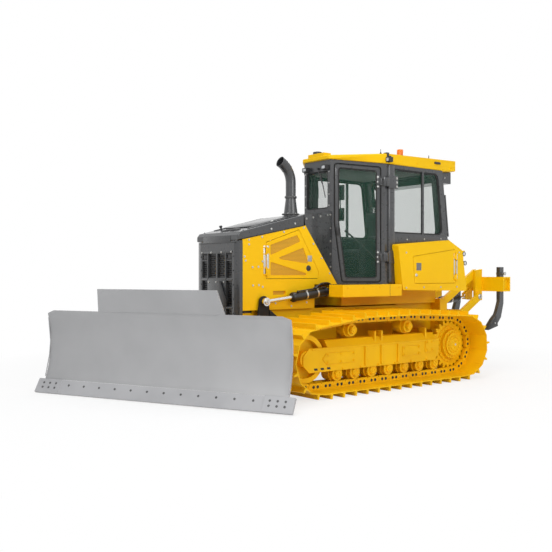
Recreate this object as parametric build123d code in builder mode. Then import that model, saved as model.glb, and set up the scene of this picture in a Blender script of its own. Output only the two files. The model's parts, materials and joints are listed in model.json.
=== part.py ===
"""Crawler dozer with an angled six-way blade, a glazed cab and a rear ripper.

Millimetres. +X is forward, +Y the operator's left and +Z up. The grouser tips stand on z = 0,
y = 0 is the machine's centre plane and x = 0 lies midway between idler and sprocket.
"""
import os
from math import cos, hypot, radians, sin

from build123d import *

# Running gear
TRACK_BASE = 2620
SPROCKET_X = -TRACK_BASE / 2
IDLER_X = TRACK_BASE / 2
TRACK_GAUGE = 1981
SHOE_WIDTH = 762
SHOE_PITCH = 189
SHOE_PHASE = 0.5
GROUSER = 56
GROUSER_TIP = 18
GROUSER_FOOT = 34
SHOE_PLATE = 12
LINK_OUT = 40
LINK_IN = 38
LINK_NOTCH = (9, 20)
RAIL_SPREAD = 98
RAIL_WIDTH = 46
SPROCKET_Z = 460
IDLER_Z = 440
CARRIER_Z = 742
CARRIER_R = 80
CARRIER_X = (IDLER_X - 734, SPROCKET_X + 890)
ROLLER_R = 82
ROLLER_FLANGE = 16
ROLLER_COUNT = 7
ROLLER_FIRST_X = IDLER_X - 492
ROLLER_LAST_X = SPROCKET_X + 376
SKIRT_INNER = 112
SKIRT = 14
SKIRT_Z = (275, 560)
BEAM_Z = (345, 640)
BEAM_X = (SPROCKET_X + 370, IDLER_X - 310)
SKIRT_X = (SPROCKET_X + 310, IDLER_X + 60)
SKIRT_NOSE = 90
GUIDE_X = (IDLER_X - 1240, IDLER_X - 1120, SPROCKET_X + 560)
BOLT_PLATE_X = (SPROCKET_X + 430, SPROCKET_X + 590)
BOLT_PLATE_Z = (390, 550)
SEAT_GAP = 0.3
PIN_GAP = 0.3

# Hull and platform
HULL_HALF = 390
HULL_WALL = 40
HULL_X = (-1690, 1560)
HULL_Z = (400, 980)
DRIVE_CASE_FRONT = -950
PLATFORM_HALF = 478
PLATFORM_Z = (1000, 1283)
DECK_OUTER = 900
DECK_X = (-517, 546)
DECK_Z = (1130, 1283)
BRACKET_BAY = (240, 640)
TOW_PIN_X = 1640
TOW_PIN_R = 32
TOW_LUG_R = 70
TOW_Z = (500, 570)

# Engine enclosure
NOSE_X = 1810
NOSE_HALF = 450
NOSE_FACE_HALF = 370
NOSE_DEPTH = 70
NOSE_BOTTOM = 700
HOOD_FRONT_Z = 1912
HOOD_REAR = (790, 2165)
HOOD_LIP = 32
PANEL_THICK = 20
PANEL_FRONT_Z = (984, 1830)
PANEL_REAR_TOP = (768, 2027)
PANEL_REAR_FOOT = (230, 1285)
PANEL_STEP_X = 620
DOOR_HINGE_X = 1394
ENGINE_DOOR_GAP = 6
HATCH_HINGE = (14, 10, 5)

# Cab
CAB_FRONT_X = 180
CAB_FRONT_HALF = 265
CAB_SIDE_X = -330
CAB_HALF = 765
CAB_WALL = 60
CAB_TOP = 2870
CAB_FRONT_TOP = 2940
CAB_REAR_FOOT = -1690
CAB_REAR_TOP = -1500
DOOR_GAP = 10
DOOR_FRAME = 46
GLASS = 6
CAB_HINGE = (22, 14, 7)
KNUCKLE_HALF = 35
HINGE_REACH = 36
HINGE_LUG = 12
ROOF_OVERHANG = 35

# Blade, in the frame of the swivel
BLADE_YAW = 26.5
SWIVEL_X = 2150
EDGE_X = 843
EDGE_WIDTH = 3353
BLADE_WIDTH = 3194
BLADE_TOP_Z = 949
GUARD_HALF = 783
GUARD_TOP_Z = 1247
MOLDBOARD = 25
EDGE_PLATE = 25
TILT_Z = 470
TILT_SHAFT_R = 45

# C-frame and lift cylinders
LIFT_PIVOT = (420, 480)
ARM_Y = (470, 585)
ARM_Z = (400, 520)
CROSS_X = (2005, 2085)
LIFT_PIN_R = 50
LIFT_BASE = (410, 1200)
LIFT_EYE = (1455, 1085)
LIFT_Y = 520
LIFT_BARREL_R = 56
LIFT_ROD_R = 27

# Angle and tilt cylinders
ANGLE_BASE = (1150, 565)
ANGLE_EYE = (120, 575)
ANGLE_Z = 600
ANGLE_BARREL_R = 34
ANGLE_ROD_R = 19
TILT_CYLINDER_X = 375
TILT_CYLINDER_Z = 860
TILT_BASE_Y = -360
TILT_EYE_Y = 360
TILT_BARREL_R = 40
TILT_ROD_R = 24

# Ripper
RIPPER_FRONT = (-1850, 620)
RIPPER_RISE = 360
LINK_LENGTH = 900
LINK_SLOPE = 30
RIPPER_EAR_Y = (480, 520)
RIPPER_LINK = 40
RIPPER_PIN_R = 30
RIPPER_CYLINDER_Y = 300
RIPPER_BARREL_R = 48
RIPPER_ROD_R = 18
BEAM_HALF = 900
SHANK_Y = 800
SHANK_THICK = 60

MACHINE = Plane.XY
BLADE = Plane(
    origin=(SWIVEL_X, 0, 0),
    x_dir=(cos(radians(BLADE_YAW)), sin(radians(BLADE_YAW)), 0),
    z_dir=(0, 0, 1),
)


def on(base, plane):
    """A plane given in the frame of another plane."""
    return Plane(base.location * plane.location)


def prism(plane, outline, length, mode=Mode.ADD, corner=0):
    """Straight prism on a plane from a closed outline, its corners rounded by a radius."""
    with BuildSketch(plane) as profile:
        with BuildLine():
            Polyline(*outline, close=True)
        make_face()
        if corner:
            fillet(profile.vertices(), corner)
    extrude(profile.sketch, amount=length, mode=mode)


def side_plate(outline, y, base=MACHINE, mode=Mode.ADD, corner=0):
    """Prism across the machine from an outline of (x, z) points, between two y limits."""
    prism(on(base, Plane.XZ.offset(-y[1])), outline, y[1] - y[0], mode, corner)


def plan_plate(outline, z, base=MACHINE, mode=Mode.ADD):
    """Upright prism from an outline of (x, y) points, between two z limits."""
    prism(on(base, Plane.XY.offset(z[0])), outline, z[1] - z[0], mode)


def front_plate(outline, x, base=MACHINE, mode=Mode.ADD, corner=0):
    """Prism along the machine from an outline of (y, z) points, between two x limits."""
    prism(on(base, Plane.YZ.offset(x[0])), outline, x[1] - x[0], mode, corner)


def block(x, y, z, base=MACHINE, mode=Mode.ADD):
    """Box between two limits on each axis."""
    plan_plate(frame_of(x, y), z, base, mode)


def rod(start, end, radius, base=MACHINE, mode=Mode.ADD):
    """Round bar from one point to another."""
    run = Vector(*end) - Vector(*start)
    with BuildSketch(on(base, Plane(origin=start, z_dir=run))) as profile:
        Circle(radius)
    extrude(profile.sketch, amount=run.length, mode=mode)


def cross_disc(centre, radius, y, base=MACHINE, mode=Mode.ADD):
    """Disc across the machine about an (x, z) centre, between two y limits."""
    rod((centre[0], y[0], centre[1]), (centre[0], y[1], centre[1]), radius, base, mode)


def normals(outline):
    """Outward unit normal of each side of a closed anticlockwise outline."""
    result = []
    for (x1, y1), (x2, y2) in zip(outline, outline[1:] + outline[:1]):
        length = hypot(x2 - x1, y2 - y1)
        result.append(((y2 - y1) / length, (x1 - x2) / length))
    return result


def grown(outline, distance):
    """Closed anticlockwise outline with every side moved outwards by a distance."""
    sides = normals(outline)
    corners = []
    for (x, y), (a, b), (c, d) in zip(outline, sides[-1:] + sides[:-1], sides):
        reach = distance / (1 + a * c + b * d)
        corners.append((x + (a + c) * reach, y + (b + d) * reach))
    return corners


def frame_of(first, second):
    """Corners of an upright rectangle from its limits on two axes."""
    return [(first[0], second[0]), (first[1], second[0]), (first[1], second[1]), (first[0], second[1])]


def mirrored(outline):
    """An outline reflected in the centre plane and kept anticlockwise."""
    return [(x, -y) for x, y in reversed(outline)]


def along(start, end, distance):
    """Point on the line from start towards end, at a distance from start."""
    share = distance / hypot(*(b - a for a, b in zip(start, end)))
    return tuple(a + (b - a) * share for a, b in zip(start, end))


def hinge_leaf(base, heights, size):
    """Door half of a hinge: knuckles with straps onto the door's face.

    The base has its x from the hinge onto the door and its y out of the door's face.
    The size gives the pin's distance from that face, the knuckle's radius and the pin's radius.
    """
    out, knuckle_r, pin_r = size
    for z in heights:
        span = (z - KNUCKLE_HALF, z + KNUCKLE_HALF)
        rod((0, out, span[0]), (0, out, span[1]), knuckle_r, base)
        block((0, HINGE_REACH), (0, out), span, base)
        rod((0, out, span[0]), (0, out, span[1]), pin_r + PIN_GAP, base, mode=Mode.SUBTRACT)


def hinge_pins(base, heights, size):
    """Fixed half of a hinge: a pin between two lugs for each knuckle."""
    out, knuckle_r, pin_r = size
    for z in heights:
        reach = KNUCKLE_HALF + PIN_GAP
        rod((0, out, z - reach), (0, out, z + reach), pin_r, base)
        for span in ((z - reach - HINGE_LUG, z - reach), (z + reach, z + reach + HINGE_LUG)):
            rod((0, out, span[0]), (0, out, span[1]), knuckle_r, base)
            block((-HINGE_REACH, 0), (0, out), span, base)


# Track loop
TRACK_Y = TRACK_GAUGE / 2
PIN_Z = GROUSER + SHOE_PLATE + LINK_OUT
RAIL_Z = PIN_Z + LINK_IN
RAIL_IN = RAIL_SPREAD / 2
RAIL_OUT = RAIL_IN + RAIL_WIDTH
RAIL_Y = ((-RAIL_OUT, -RAIL_IN), (RAIL_IN, RAIL_OUT))

with BuildSketch() as pin_loop:
    with Locations((SPROCKET_X, SPROCKET_Z)):
        Circle(SPROCKET_Z - PIN_Z)
    with Locations((IDLER_X, IDLER_Z)):
        Circle(IDLER_Z - PIN_Z)
    with Locations(*[(x, CARRIER_Z) for x in CARRIER_X]):
        Circle(CARRIER_R + LINK_IN)
    make_hull()
loop_wire = pin_loop.sketch.face().outer_wire()
SHOE_COUNT = round(loop_wire.length / SHOE_PITCH)
pin_shares = [((k + SHOE_PHASE) % SHOE_COUNT) / SHOE_COUNT for k in range(SHOE_COUNT)]
track_pins = [(p.X, p.Y) for p in map(loop_wire.position_at, pin_shares)]
next_pins = track_pins[1:] + track_pins[:1]
if sum(x1 * z2 - x2 * z1 for (x1, z1), (x2, z2) in zip(track_pins, next_pins)) < 0:
    track_pins.reverse()

link_corners = grown(track_pins, -LINK_IN)
notch_corners = grown(track_pins, LINK_NOTCH[1] - LINK_IN)
link_outline = []
for first, second, notch in zip(link_corners, link_corners[1:] + link_corners[:1], notch_corners):
    link_outline.append(notch)
    link_outline.append(along(first, second, LINK_NOTCH[0]))
    link_outline.append(along(second, first, LINK_NOTCH[0]))

shoe_corners = grown(track_pins, LINK_OUT + SHOE_PLATE)
next_corners = shoe_corners[1:] + shoe_corners[:1]
shoe_outline = []
for (x1, z1), (x2, z2), (nx, nz) in zip(shoe_corners, next_corners, normals(track_pins)):
    length = hypot(x2 - x1, z2 - z1)
    ux, uz = (x2 - x1) / length, (z2 - z1) / length
    shoe_outline.append((x1, z1))
    middle = length / 2
    for reach, height in (
        (middle - GROUSER_FOOT / 2, 0),
        (middle - GROUSER_TIP / 2, GROUSER),
        (middle + GROUSER_TIP / 2, GROUSER),
        (middle + GROUSER_FOOT / 2, 0),
    ):
        shoe_outline.append((x1 + ux * reach + nx * height, z1 + uz * reach + nz * height))


def rail_reach(x, z):
    """Least distance from a wheel's centre to the chain's rails."""
    sides = zip(track_pins, normals(track_pins))
    return min((px - x) * nx + (pz - z) * nz for (px, pz), (nx, nz) in sides) - LINK_IN


with BuildPart() as track_l:
    with BuildSketch(Plane.XZ.offset(-TRACK_Y - SHOE_WIDTH / 2)):
        with BuildLine():
            Polyline(*shoe_outline, close=True)
        make_face()
        with BuildLine():
            Polyline(*grown(track_pins, LINK_OUT), close=True)
        make_face(mode=Mode.SUBTRACT)
    extrude(amount=SHOE_WIDTH)
    for low, high in RAIL_Y:
        with BuildSketch(Plane.XZ.offset(-TRACK_Y - high)):
            with BuildLine():
                Polyline(*grown(track_pins, LINK_OUT), close=True)
            make_face()
            with BuildLine():
                Polyline(*link_outline, close=True)
            make_face(mode=Mode.SUBTRACT)
        extrude(amount=high - low)

with BuildPart() as track_r:
    mirror(track_l.part, about=Plane.XZ)

# Wheels inside the track loop
ROLLER_Z = RAIL_Z + ROLLER_R
ROLLER_SPACING = (ROLLER_FIRST_X - ROLLER_LAST_X) / (ROLLER_COUNT - 1)
ROLLER_X = [ROLLER_FIRST_X - k * ROLLER_SPACING for k in range(ROLLER_COUNT)]
TREAD_IN = RAIL_IN - 6
TREAD_OUT = RAIL_OUT + 4
IDLER_R = rail_reach(IDLER_X, IDLER_Z) - SEAT_GAP
SPROCKET_R = rail_reach(SPROCKET_X, SPROCKET_Z) - SEAT_GAP


def wheel(centre, steps):
    """Stepped wheel across the left track: pairs of half width and radius."""
    for half, radius in steps:
        cross_disc(centre, radius, (TRACK_Y - half, TRACK_Y + half))


with BuildPart() as track_rollers:
    for x in ROLLER_X:
        wheel((x, ROLLER_Z), (
            (TREAD_OUT, ROLLER_R - SEAT_GAP),
            (TREAD_IN, ROLLER_R + ROLLER_FLANGE),
            (SKIRT_INNER - SEAT_GAP, ROLLER_R * 0.6),
        ))
    mirror(about=Plane.XZ)

with BuildPart() as carrier_rollers:
    for x in CARRIER_X:
        reach = rail_reach(x, CARRIER_Z) - SEAT_GAP
        wheel((x, CARRIER_Z), ((TREAD_OUT, reach), (TREAD_IN, reach + ROLLER_FLANGE)))
        axle_y = (TRACK_Y - SKIRT_INNER + SEAT_GAP, TRACK_Y + SKIRT_INNER + SKIRT)
        cross_disc((x, CARRIER_Z), reach / 2, axle_y)
    mirror(about=Plane.XZ)

IDLER_WEB = 30
with BuildPart() as idlers:
    idler = (IDLER_X, IDLER_Z)
    wheel(idler, ((TREAD_OUT, IDLER_R), (TREAD_IN, IDLER_R + ROLLER_FLANGE)))
    for faces in ((-TREAD_OUT, -IDLER_WEB), (IDLER_WEB, TREAD_OUT)):
        cross_disc(idler, IDLER_R * 0.8, [TRACK_Y + y for y in faces], mode=Mode.SUBTRACT)
    wheel(idler, ((SKIRT_INNER - SEAT_GAP, IDLER_R / 3),))
    mirror(about=Plane.XZ)

TOOTH_COUNT = 23
TOOTH_ROOT = SPROCKET_R - 14
TOOTH_TIP = SPROCKET_R + LINK_IN
TOOTH_SHAPE = ((0.1, TOOTH_ROOT), (0.38, TOOTH_TIP), (0.62, TOOTH_TIP), (0.9, TOOTH_ROOT))
tooth_ring = []
for k in range(TOOTH_COUNT):
    for share, radius in TOOTH_SHAPE:
        turn = radians(360 * (k + share) / TOOTH_COUNT)
        tooth_ring.append((SPROCKET_X + radius * cos(turn), SPROCKET_Z + radius * sin(turn)))
HUB_STEPS = ((0.8, 12), (0.64, TREAD_OUT - TREAD_IN), (0.5, SKIRT_INNER + SKIRT - TREAD_IN))
with BuildPart() as sprockets:
    side_plate(tooth_ring, (TRACK_Y - TREAD_IN, TRACK_Y + TREAD_IN))
    for share, reach in HUB_STEPS:
        faces = (TRACK_Y, TRACK_Y + TREAD_IN + reach)
        cross_disc((SPROCKET_X, SPROCKET_Z), SPROCKET_R * share, faces)
    cross_disc((SPROCKET_X, SPROCKET_Z), SPROCKET_R * 0.6, (HULL_HALF, TRACK_Y))
    mirror(about=Plane.XZ)

with BuildPart() as track_frames:
    skirt_out = SKIRT_INNER + SKIRT
    top_half = SKIRT_INNER * 0.62
    front_plate([
        (TRACK_Y - skirt_out, BEAM_Z[0]),
        (TRACK_Y + skirt_out, BEAM_Z[0]),
        (TRACK_Y + skirt_out, SKIRT_Z[1]),
        (TRACK_Y + top_half, BEAM_Z[1]),
        (TRACK_Y - top_half, BEAM_Z[1]),
        (TRACK_Y - skirt_out, SKIRT_Z[1]),
    ], BEAM_X)
    skirt = [
        (SKIRT_X[0], SKIRT_Z[0] + SKIRT_NOSE),
        (SKIRT_X[0] + SKIRT_NOSE, SKIRT_Z[0]),
        (SKIRT_X[1] - SKIRT_NOSE, SKIRT_Z[0]),
        (SKIRT_X[1], SKIRT_Z[0] + SKIRT_NOSE),
        (SKIRT_X[1], SKIRT_Z[1] - SKIRT_NOSE),
        (SKIRT_X[1] - SKIRT_NOSE, SKIRT_Z[1]),
        (SKIRT_X[0], SKIRT_Z[1]),
    ]
    for side in (-1, 1):
        side_plate(skirt, sorted((TRACK_Y + side * SKIRT_INNER, TRACK_Y + side * skirt_out)))
    for x in CARRIER_X:
        stand = (x - CARRIER_R * 0.7, x + CARRIER_R * 0.7)
        stand_z = (SKIRT_Z[1], CARRIER_Z + CARRIER_R * 0.6)
        block(stand, (TRACK_Y - skirt_out, TRACK_Y - SKIRT_INNER), stand_z)
    for x in GUIDE_X:
        guide_z = (SKIRT_Z[1], CARRIER_Z - SKIRT_NOSE / 3)
        block((x - SKIRT, x + SKIRT), (TRACK_Y, TRACK_Y + SKIRT_INNER), guide_z)
    block(BOLT_PLATE_X, (TRACK_Y + skirt_out, TRACK_Y + skirt_out + SKIRT), BOLT_PLATE_Z)
    mirror(about=Plane.XZ)

# Hull
PIVOT_BOSS_R = LIFT_PIN_R + 45
SHELF = 50
SHELF_TOP = HULL_Z[1] - 30
CROSSBAR_X = (SPROCKET_X + 480, IDLER_X - 1200)
CROSSBAR_HALF = 55
CROSSBAR_Z = (420, 540)
FRAME_JOINT_Y = TRACK_Y - SKIRT_INNER - SKIRT
with BuildPart() as main_frame:
    block(HULL_X, (-HULL_HALF, HULL_HALF), HULL_Z)
    block(
        (DRIVE_CASE_FRONT, HULL_X[1] - HULL_WALL),
        (HULL_WALL - HULL_HALF, HULL_HALF - HULL_WALL),
        (HULL_Z[0] + HULL_WALL, HULL_Z[1]),
        mode=Mode.SUBTRACT,
    )
    block((HULL_X[0], DRIVE_CASE_FRONT), (-HULL_HALF, HULL_HALF), (HULL_Z[1], PLATFORM_Z[0]))
    nose_shelf = (HULL_X[1] - HULL_WALL, NOSE_X - NOSE_DEPTH)
    block(nose_shelf, (-HULL_HALF, HULL_HALF), (SHELF_TOP - SHELF, SHELF_TOP))
    for x in CROSSBAR_X:
        for side in (-1, 1):
            faces = sorted((side * HULL_HALF, side * FRAME_JOINT_Y))
            block((x - CROSSBAR_HALF, x + CROSSBAR_HALF), faces, CROSSBAR_Z)
    for side in (-1, 1):
        cross_disc(LIFT_PIVOT, PIVOT_BOSS_R, sorted((side * HULL_HALF, side * (ARM_Y[0] - 1))))
        cross_disc(LIFT_PIVOT, LIFT_PIN_R, sorted((side * HULL_HALF, side * (ARM_Y[1] + 8))))
    tow_foot = (TOW_PIN_X, 0, TOW_Z[0])
    tow_head = (TOW_PIN_X, 0, TOW_Z[1])
    block((HULL_X[1], TOW_PIN_X), (-TOW_LUG_R, TOW_LUG_R), TOW_Z)
    rod(tow_foot, tow_head, TOW_LUG_R)
    rod(tow_foot, tow_head, TOW_PIN_R, mode=Mode.SUBTRACT)

with BuildPart() as platform:
    block((HULL_X[0], CAB_FRONT_X), (-PLATFORM_HALF, PLATFORM_HALF), PLATFORM_Z)

with BuildPart() as decks:
    plan_plate([
        (DECK_X[1], BRACKET_BAY[1]),
        (DECK_X[1], DECK_OUTER),
        (DECK_X[0], DECK_OUTER),
        (DECK_X[0], PLATFORM_HALF),
        (BRACKET_BAY[0], PLATFORM_HALF),
        (BRACKET_BAY[0], BRACKET_BAY[1]),
    ], DECK_Z)
    mirror(about=Plane.XZ)

# Engine, cooling and enclosure
ENGINE_X = (620, 1380)
ENGINE_HALF = 300
ENGINE_TOP = 1560
FAN_Z = 1380
FAN_SHAFT_R = 25
FAN_R = 330
FAN_X = (1430, 1480)
RADIATOR_X = (1570, 1690)
with BuildPart() as engine_block:
    block(ENGINE_X, (-ENGINE_HALF, ENGINE_HALF), (HULL_Z[0] + HULL_WALL, ENGINE_TOP))
    rod((ENGINE_X[1], 0, FAN_Z), (FAN_X[1] - 10, 0, FAN_Z), FAN_SHAFT_R)

with BuildPart() as cooling_fan:
    rod((FAN_X[0], 0, FAN_Z), (FAN_X[1], 0, FAN_Z), FAN_SHAFT_R + 45)
    for k in range(7):
        spoke = Plane(origin=(0, 0, FAN_Z)).rotated((360 / 7 * k, 0, 0))
        block((FAN_X[0] + 10, FAN_X[1] - 10), (-55, 55), (FAN_SHAFT_R + 20, FAN_R), base=spoke)
    rod((FAN_X[0] - 1, 0, FAN_Z), (FAN_X[1] - 5, 0, FAN_Z), FAN_SHAFT_R + PIN_GAP, mode=Mode.SUBTRACT)

with BuildPart() as radiator:
    block(RADIATOR_X, (-HULL_HALF, HULL_HALF), (SHELF_TOP, PANEL_FRONT_Z[1] - 60))


def panel_top(x):
    """Height of the line where the hood meets the side panels."""
    front_x = NOSE_X - NOSE_DEPTH
    slope = (PANEL_REAR_TOP[1] - PANEL_FRONT_Z[1]) / (PANEL_REAR_TOP[0] - front_x)
    return PANEL_FRONT_Z[1] + (x - front_x) * slope


nose_plan = [
    (NOSE_X - NOSE_DEPTH, -NOSE_HALF),
    (NOSE_X - 24, -NOSE_HALF),
    (NOSE_X, -NOSE_FACE_HALF),
    (NOSE_X, NOSE_FACE_HALF),
    (NOSE_X - 24, NOSE_HALF),
    (NOSE_X - NOSE_DEPTH, NOSE_HALF),
]
NOSE_LAMP_Y = (205, 325)
NOSE_LAMP_Z = (1590, 1665)
INNER_COLUMN = (15, 180)
SCREEN_BAYS = (
    (INNER_COLUMN, (740, 1000)),
    (INNER_COLUMN, (1370, NOSE_LAMP_Z[1])),
    (NOSE_LAMP_Y, (740, 1000)),
    (NOSE_LAMP_Y, (1030, 1335)),
    (NOSE_LAMP_Y, (1370, NOSE_LAMP_Z[0] - 15)),
)
SCREEN_HOLE_R = 12
SCREEN_PITCH = 30
SCREEN_X = NOSE_X - 30
SCREEN = 8
with BuildPart() as grille_frame:
    plan_plate(nose_plan, (NOSE_BOTTOM, panel_top(NOSE_X)))
    for y, z in (*SCREEN_BAYS, (NOSE_LAMP_Y, NOSE_LAMP_Z)):
        for side in (-1, 1):
            bay_y = sorted((side * y[0], side * y[1]))
            block((NOSE_X - NOSE_DEPTH, NOSE_X), bay_y, z, mode=Mode.SUBTRACT)


def screen_holes(y, z):
    """Centres of staggered holes that fill a bay of the nose."""
    rise = SCREEN_PITCH * sin(radians(60))
    columns = int((y[1] - y[0]) / SCREEN_PITCH) - 1
    rows = int((z[1] - z[0]) / rise) - 1
    middle = (sum(y) / 2, sum(z) / 2)
    return [
        (
            middle[0] + (column - (columns - 1 + row % 2) / 2) * SCREEN_PITCH,
            middle[1] + (row - (rows - 1) / 2) * rise,
        )
        for row in range(rows)
        for column in range(columns + row % 2)
    ]


with BuildPart() as grille_screens:
    for y, z in SCREEN_BAYS:
        with BuildSketch(Plane.YZ.offset(SCREEN_X)):
            with Locations((sum(y) / 2, sum(z) / 2)):
                Rectangle(y[1] - y[0] - 2 * SEAT_GAP, z[1] - z[0] - 2 * SEAT_GAP)
            with Locations(*screen_holes(y, z)):
                RegularPolygon(SCREEN_HOLE_R, 6, mode=Mode.SUBTRACT)
        extrude(amount=SCREEN)
    mirror(about=Plane.XZ)

panel_outline = [
    (NOSE_X - NOSE_DEPTH, PANEL_FRONT_Z[0]),
    (NOSE_X - NOSE_DEPTH, PANEL_FRONT_Z[1]),
    PANEL_REAR_TOP,
    PANEL_REAR_FOOT,
    (PANEL_STEP_X, PANEL_REAR_FOOT[1]),
    (PANEL_STEP_X, PANEL_FRONT_Z[0]),
]
engine_door_outline = [
    (DOOR_HINGE_X, 1357),
    (DOOR_HINGE_X, 1804),
    (874, 1975),
    (542, 1441),
    (559, 1357),
]
PANEL_Y = (NOSE_HALF - PANEL_THICK, NOSE_HALF)
ENGINE_DOOR_R = Plane(origin=(DOOR_HINGE_X, -NOSE_HALF, 0), x_dir=(-1, 0, 0), z_dir=(0, 0, 1))
ENGINE_HINGE_Z = (1450, 1700)
air_slot = frame_of((1092, 1287), (1165, 1212))
with BuildPart() as side_panels:
    side_plate(panel_outline, (-PANEL_Y[1], -PANEL_Y[0]))
    for opening in (engine_door_outline, air_slot):
        side_plate(opening, (-PANEL_Y[1], -PANEL_Y[0]), mode=Mode.SUBTRACT)
    hinge_pins(ENGINE_DOOR_R, ENGINE_HINGE_Z, HATCH_HINGE)
    mirror(about=Plane.XZ)

DOOR_RECESS = 8
DOOR_RECESS_CORNER = 14
door_recesses = (
    [(1325, 1645), (1325, 1772), (905, 1905), (850, 1822)],
    [(1240, 1606), (805, 1750), (715, 1545)],
    [(1325, 1400), (1325, 1568), (655, 1400)],
)
with BuildPart() as engine_door_r:
    side_plate(grown(engine_door_outline, -ENGINE_DOOR_GAP), (-PANEL_Y[1], -PANEL_Y[0]))
    for recess in door_recesses:
        faces = (-PANEL_Y[1], DOOR_RECESS - PANEL_Y[1])
        side_plate(recess, faces, mode=Mode.SUBTRACT, corner=DOOR_RECESS_CORNER)
    hinge_leaf(ENGINE_DOOR_R, ENGINE_HINGE_Z, HATCH_HINGE)

with BuildPart() as engine_door_l:
    mirror(engine_door_r.part, about=Plane.XZ)

hood_outline = [
    (NOSE_X, panel_top(NOSE_X)),
    (NOSE_X, HOOD_FRONT_Z - HOOD_LIP),
    along((NOSE_X, HOOD_FRONT_Z), HOOD_REAR, HOOD_LIP),
    HOOD_REAR,
    (HOOD_REAR[0], panel_top(HOOD_REAR[0])),
]
with BuildPart() as hood:
    side_plate(hood_outline, (-NOSE_HALF, NOSE_HALF))

COWL_REAR_Z = 2250
COWL_MARGIN = 30
cowl_foot = (CAB_FRONT_X, PANEL_REAR_FOOT[1])
cowl_outline = [HOOD_REAR, (CAB_FRONT_X, COWL_REAR_Z), cowl_foot, PANEL_REAR_FOOT, PANEL_REAR_TOP]
with BuildPart() as cowl:
    plan_plate([
        (HOOD_REAR[0], -NOSE_HALF),
        (HOOD_REAR[0], NOSE_HALF),
        (CAB_FRONT_X, CAB_FRONT_HALF + COWL_MARGIN),
        (CAB_FRONT_X, -CAB_FRONT_HALF - COWL_MARGIN),
    ], (PANEL_REAR_FOOT[1], COWL_REAR_Z))
    side_plate(cowl_outline, (-NOSE_HALF, NOSE_HALF), mode=Mode.INTERSECT)

STACK = (700, 70)
STACK_FOOT_Z = 2168
STACK_CONE_Z = 2400
STACK_BEND_Z = 2600
STACK_CONE_R = 95
STACK_R = 66
STACK_WALL = 4
STACK_BEND_R = 290
STACK_BEND = 52
STACK_CLAMP = 30
with BuildPart() as exhaust_stack:
    with BuildLine(Plane.XZ.offset(-STACK[1])):
        Line((STACK[0], STACK_CONE_Z), (STACK[0], STACK_BEND_Z))
        JernArc((STACK[0], STACK_BEND_Z), (0, 1), STACK_BEND_R, -STACK_BEND)
    with BuildSketch(Plane.XY.offset(STACK_CONE_Z)):
        with Locations(STACK):
            Circle(STACK_R)
            Circle(STACK_R - STACK_WALL, mode=Mode.SUBTRACT)
    sweep()
    with BuildSketch(Plane.XY.offset(STACK_FOOT_Z)):
        with Locations(STACK):
            Circle(STACK_CONE_R)
    with BuildSketch(Plane.XY.offset(STACK_CONE_Z)):
        with Locations(STACK):
            Circle(STACK_R)
    loft()
    with BuildSketch(Plane.XY.offset(STACK_CONE_Z)):
        with Locations(STACK):
            Circle(STACK_R + 2 * STACK_WALL)
            Circle(STACK_R - STACK_WALL, mode=Mode.SUBTRACT)
    extrude(amount=STACK_CLAMP)
    add(cowl.part, mode=Mode.SUBTRACT)

# Cab
CAB_FOOT = PLATFORM_Z[1]
DOOR_Z = (CAB_FOOT + 20, CAB_TOP - 40, CAB_FRONT_TOP - 45)
DOOR_KNEE_Z = 2100
DOOR_POST = 45
DOOR_KNEE = 100
WINDOW_Z = (1960, CAB_TOP - 50)
WINDOW_POST = 100
WINDOW_CORNER = 90
WINDOW_BAR_X = -1090
WINDOW_BAR = 34
DOOR_CORNER = 45
DOOR_WINDOW_CORNER = 40
REAR_WINDOW_HALF = 600
WINDSHIELD_HALF = 215
WINDSHIELD_CORNER = 40
WINDSHIELD_Z = (2290, CAB_TOP - 70)
cab_plan = [
    (CAB_FRONT_X, -CAB_FRONT_HALF),
    (CAB_FRONT_X, CAB_FRONT_HALF),
    (CAB_SIDE_X, CAB_HALF),
    (CAB_REAR_FOOT, CAB_HALF),
    (CAB_REAR_FOOT, -CAB_HALF),
    (CAB_SIDE_X, -CAB_HALF),
]
DOOR_L = Plane(
    origin=(CAB_SIDE_X, CAB_HALF, 0),
    x_dir=(CAB_FRONT_X - CAB_SIDE_X, CAB_FRONT_HALF - CAB_HALF, 0),
    z_dir=(0, 0, 1),
)
DOOR_HINGE_L = Plane(
    origin=DOOR_L.from_local_coords((DOOR_POST + DOOR_GAP / 2, 0, 0)),
    x_dir=DOOR_L.x_dir,
    z_dir=(0, 0, 1),
)
CAB_HINGE_Z = (1640, 2630)
DOOR_RUN = hypot(CAB_FRONT_X - CAB_SIDE_X, CAB_FRONT_HALF - CAB_HALF)
door_outline = [
    (DOOR_POST, DOOR_Z[0]),
    (DOOR_RUN - DOOR_POST - DOOR_KNEE, DOOR_Z[0]),
    (DOOR_RUN - DOOR_POST, DOOR_KNEE_Z),
    (DOOR_RUN - DOOR_POST, DOOR_Z[2]),
    (DOOR_POST, DOOR_Z[1]),
]


def cab_rear(z, inset=0):
    """The leaning back of the cab: x at a height, moved forward by an inset."""
    lean = (CAB_REAR_TOP - CAB_REAR_FOOT) / (CAB_TOP - CAB_FOOT)
    return CAB_REAR_FOOT + (z - CAB_FOOT) * lean + inset


side_window = [
    (cab_rear(WINDOW_Z[0], WINDOW_POST), WINDOW_Z[0]),
    (CAB_SIDE_X - WINDOW_POST, WINDOW_Z[0]),
    (CAB_SIDE_X - WINDOW_POST, WINDOW_Z[1]),
    (cab_rear(WINDOW_Z[1], WINDOW_POST), WINDOW_Z[1]),
]
rear_window = frame_of((-REAR_WINDOW_HALF, REAR_WINDOW_HALF), WINDOW_Z)
windshield = frame_of((-WINDSHIELD_HALF, WINDSHIELD_HALF), WINDSHIELD_Z)
SIDE_WALL_Y = (CAB_HALF - CAB_WALL, CAB_HALF)
pane = (CAB_WALL - GLASS) / 2

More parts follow.
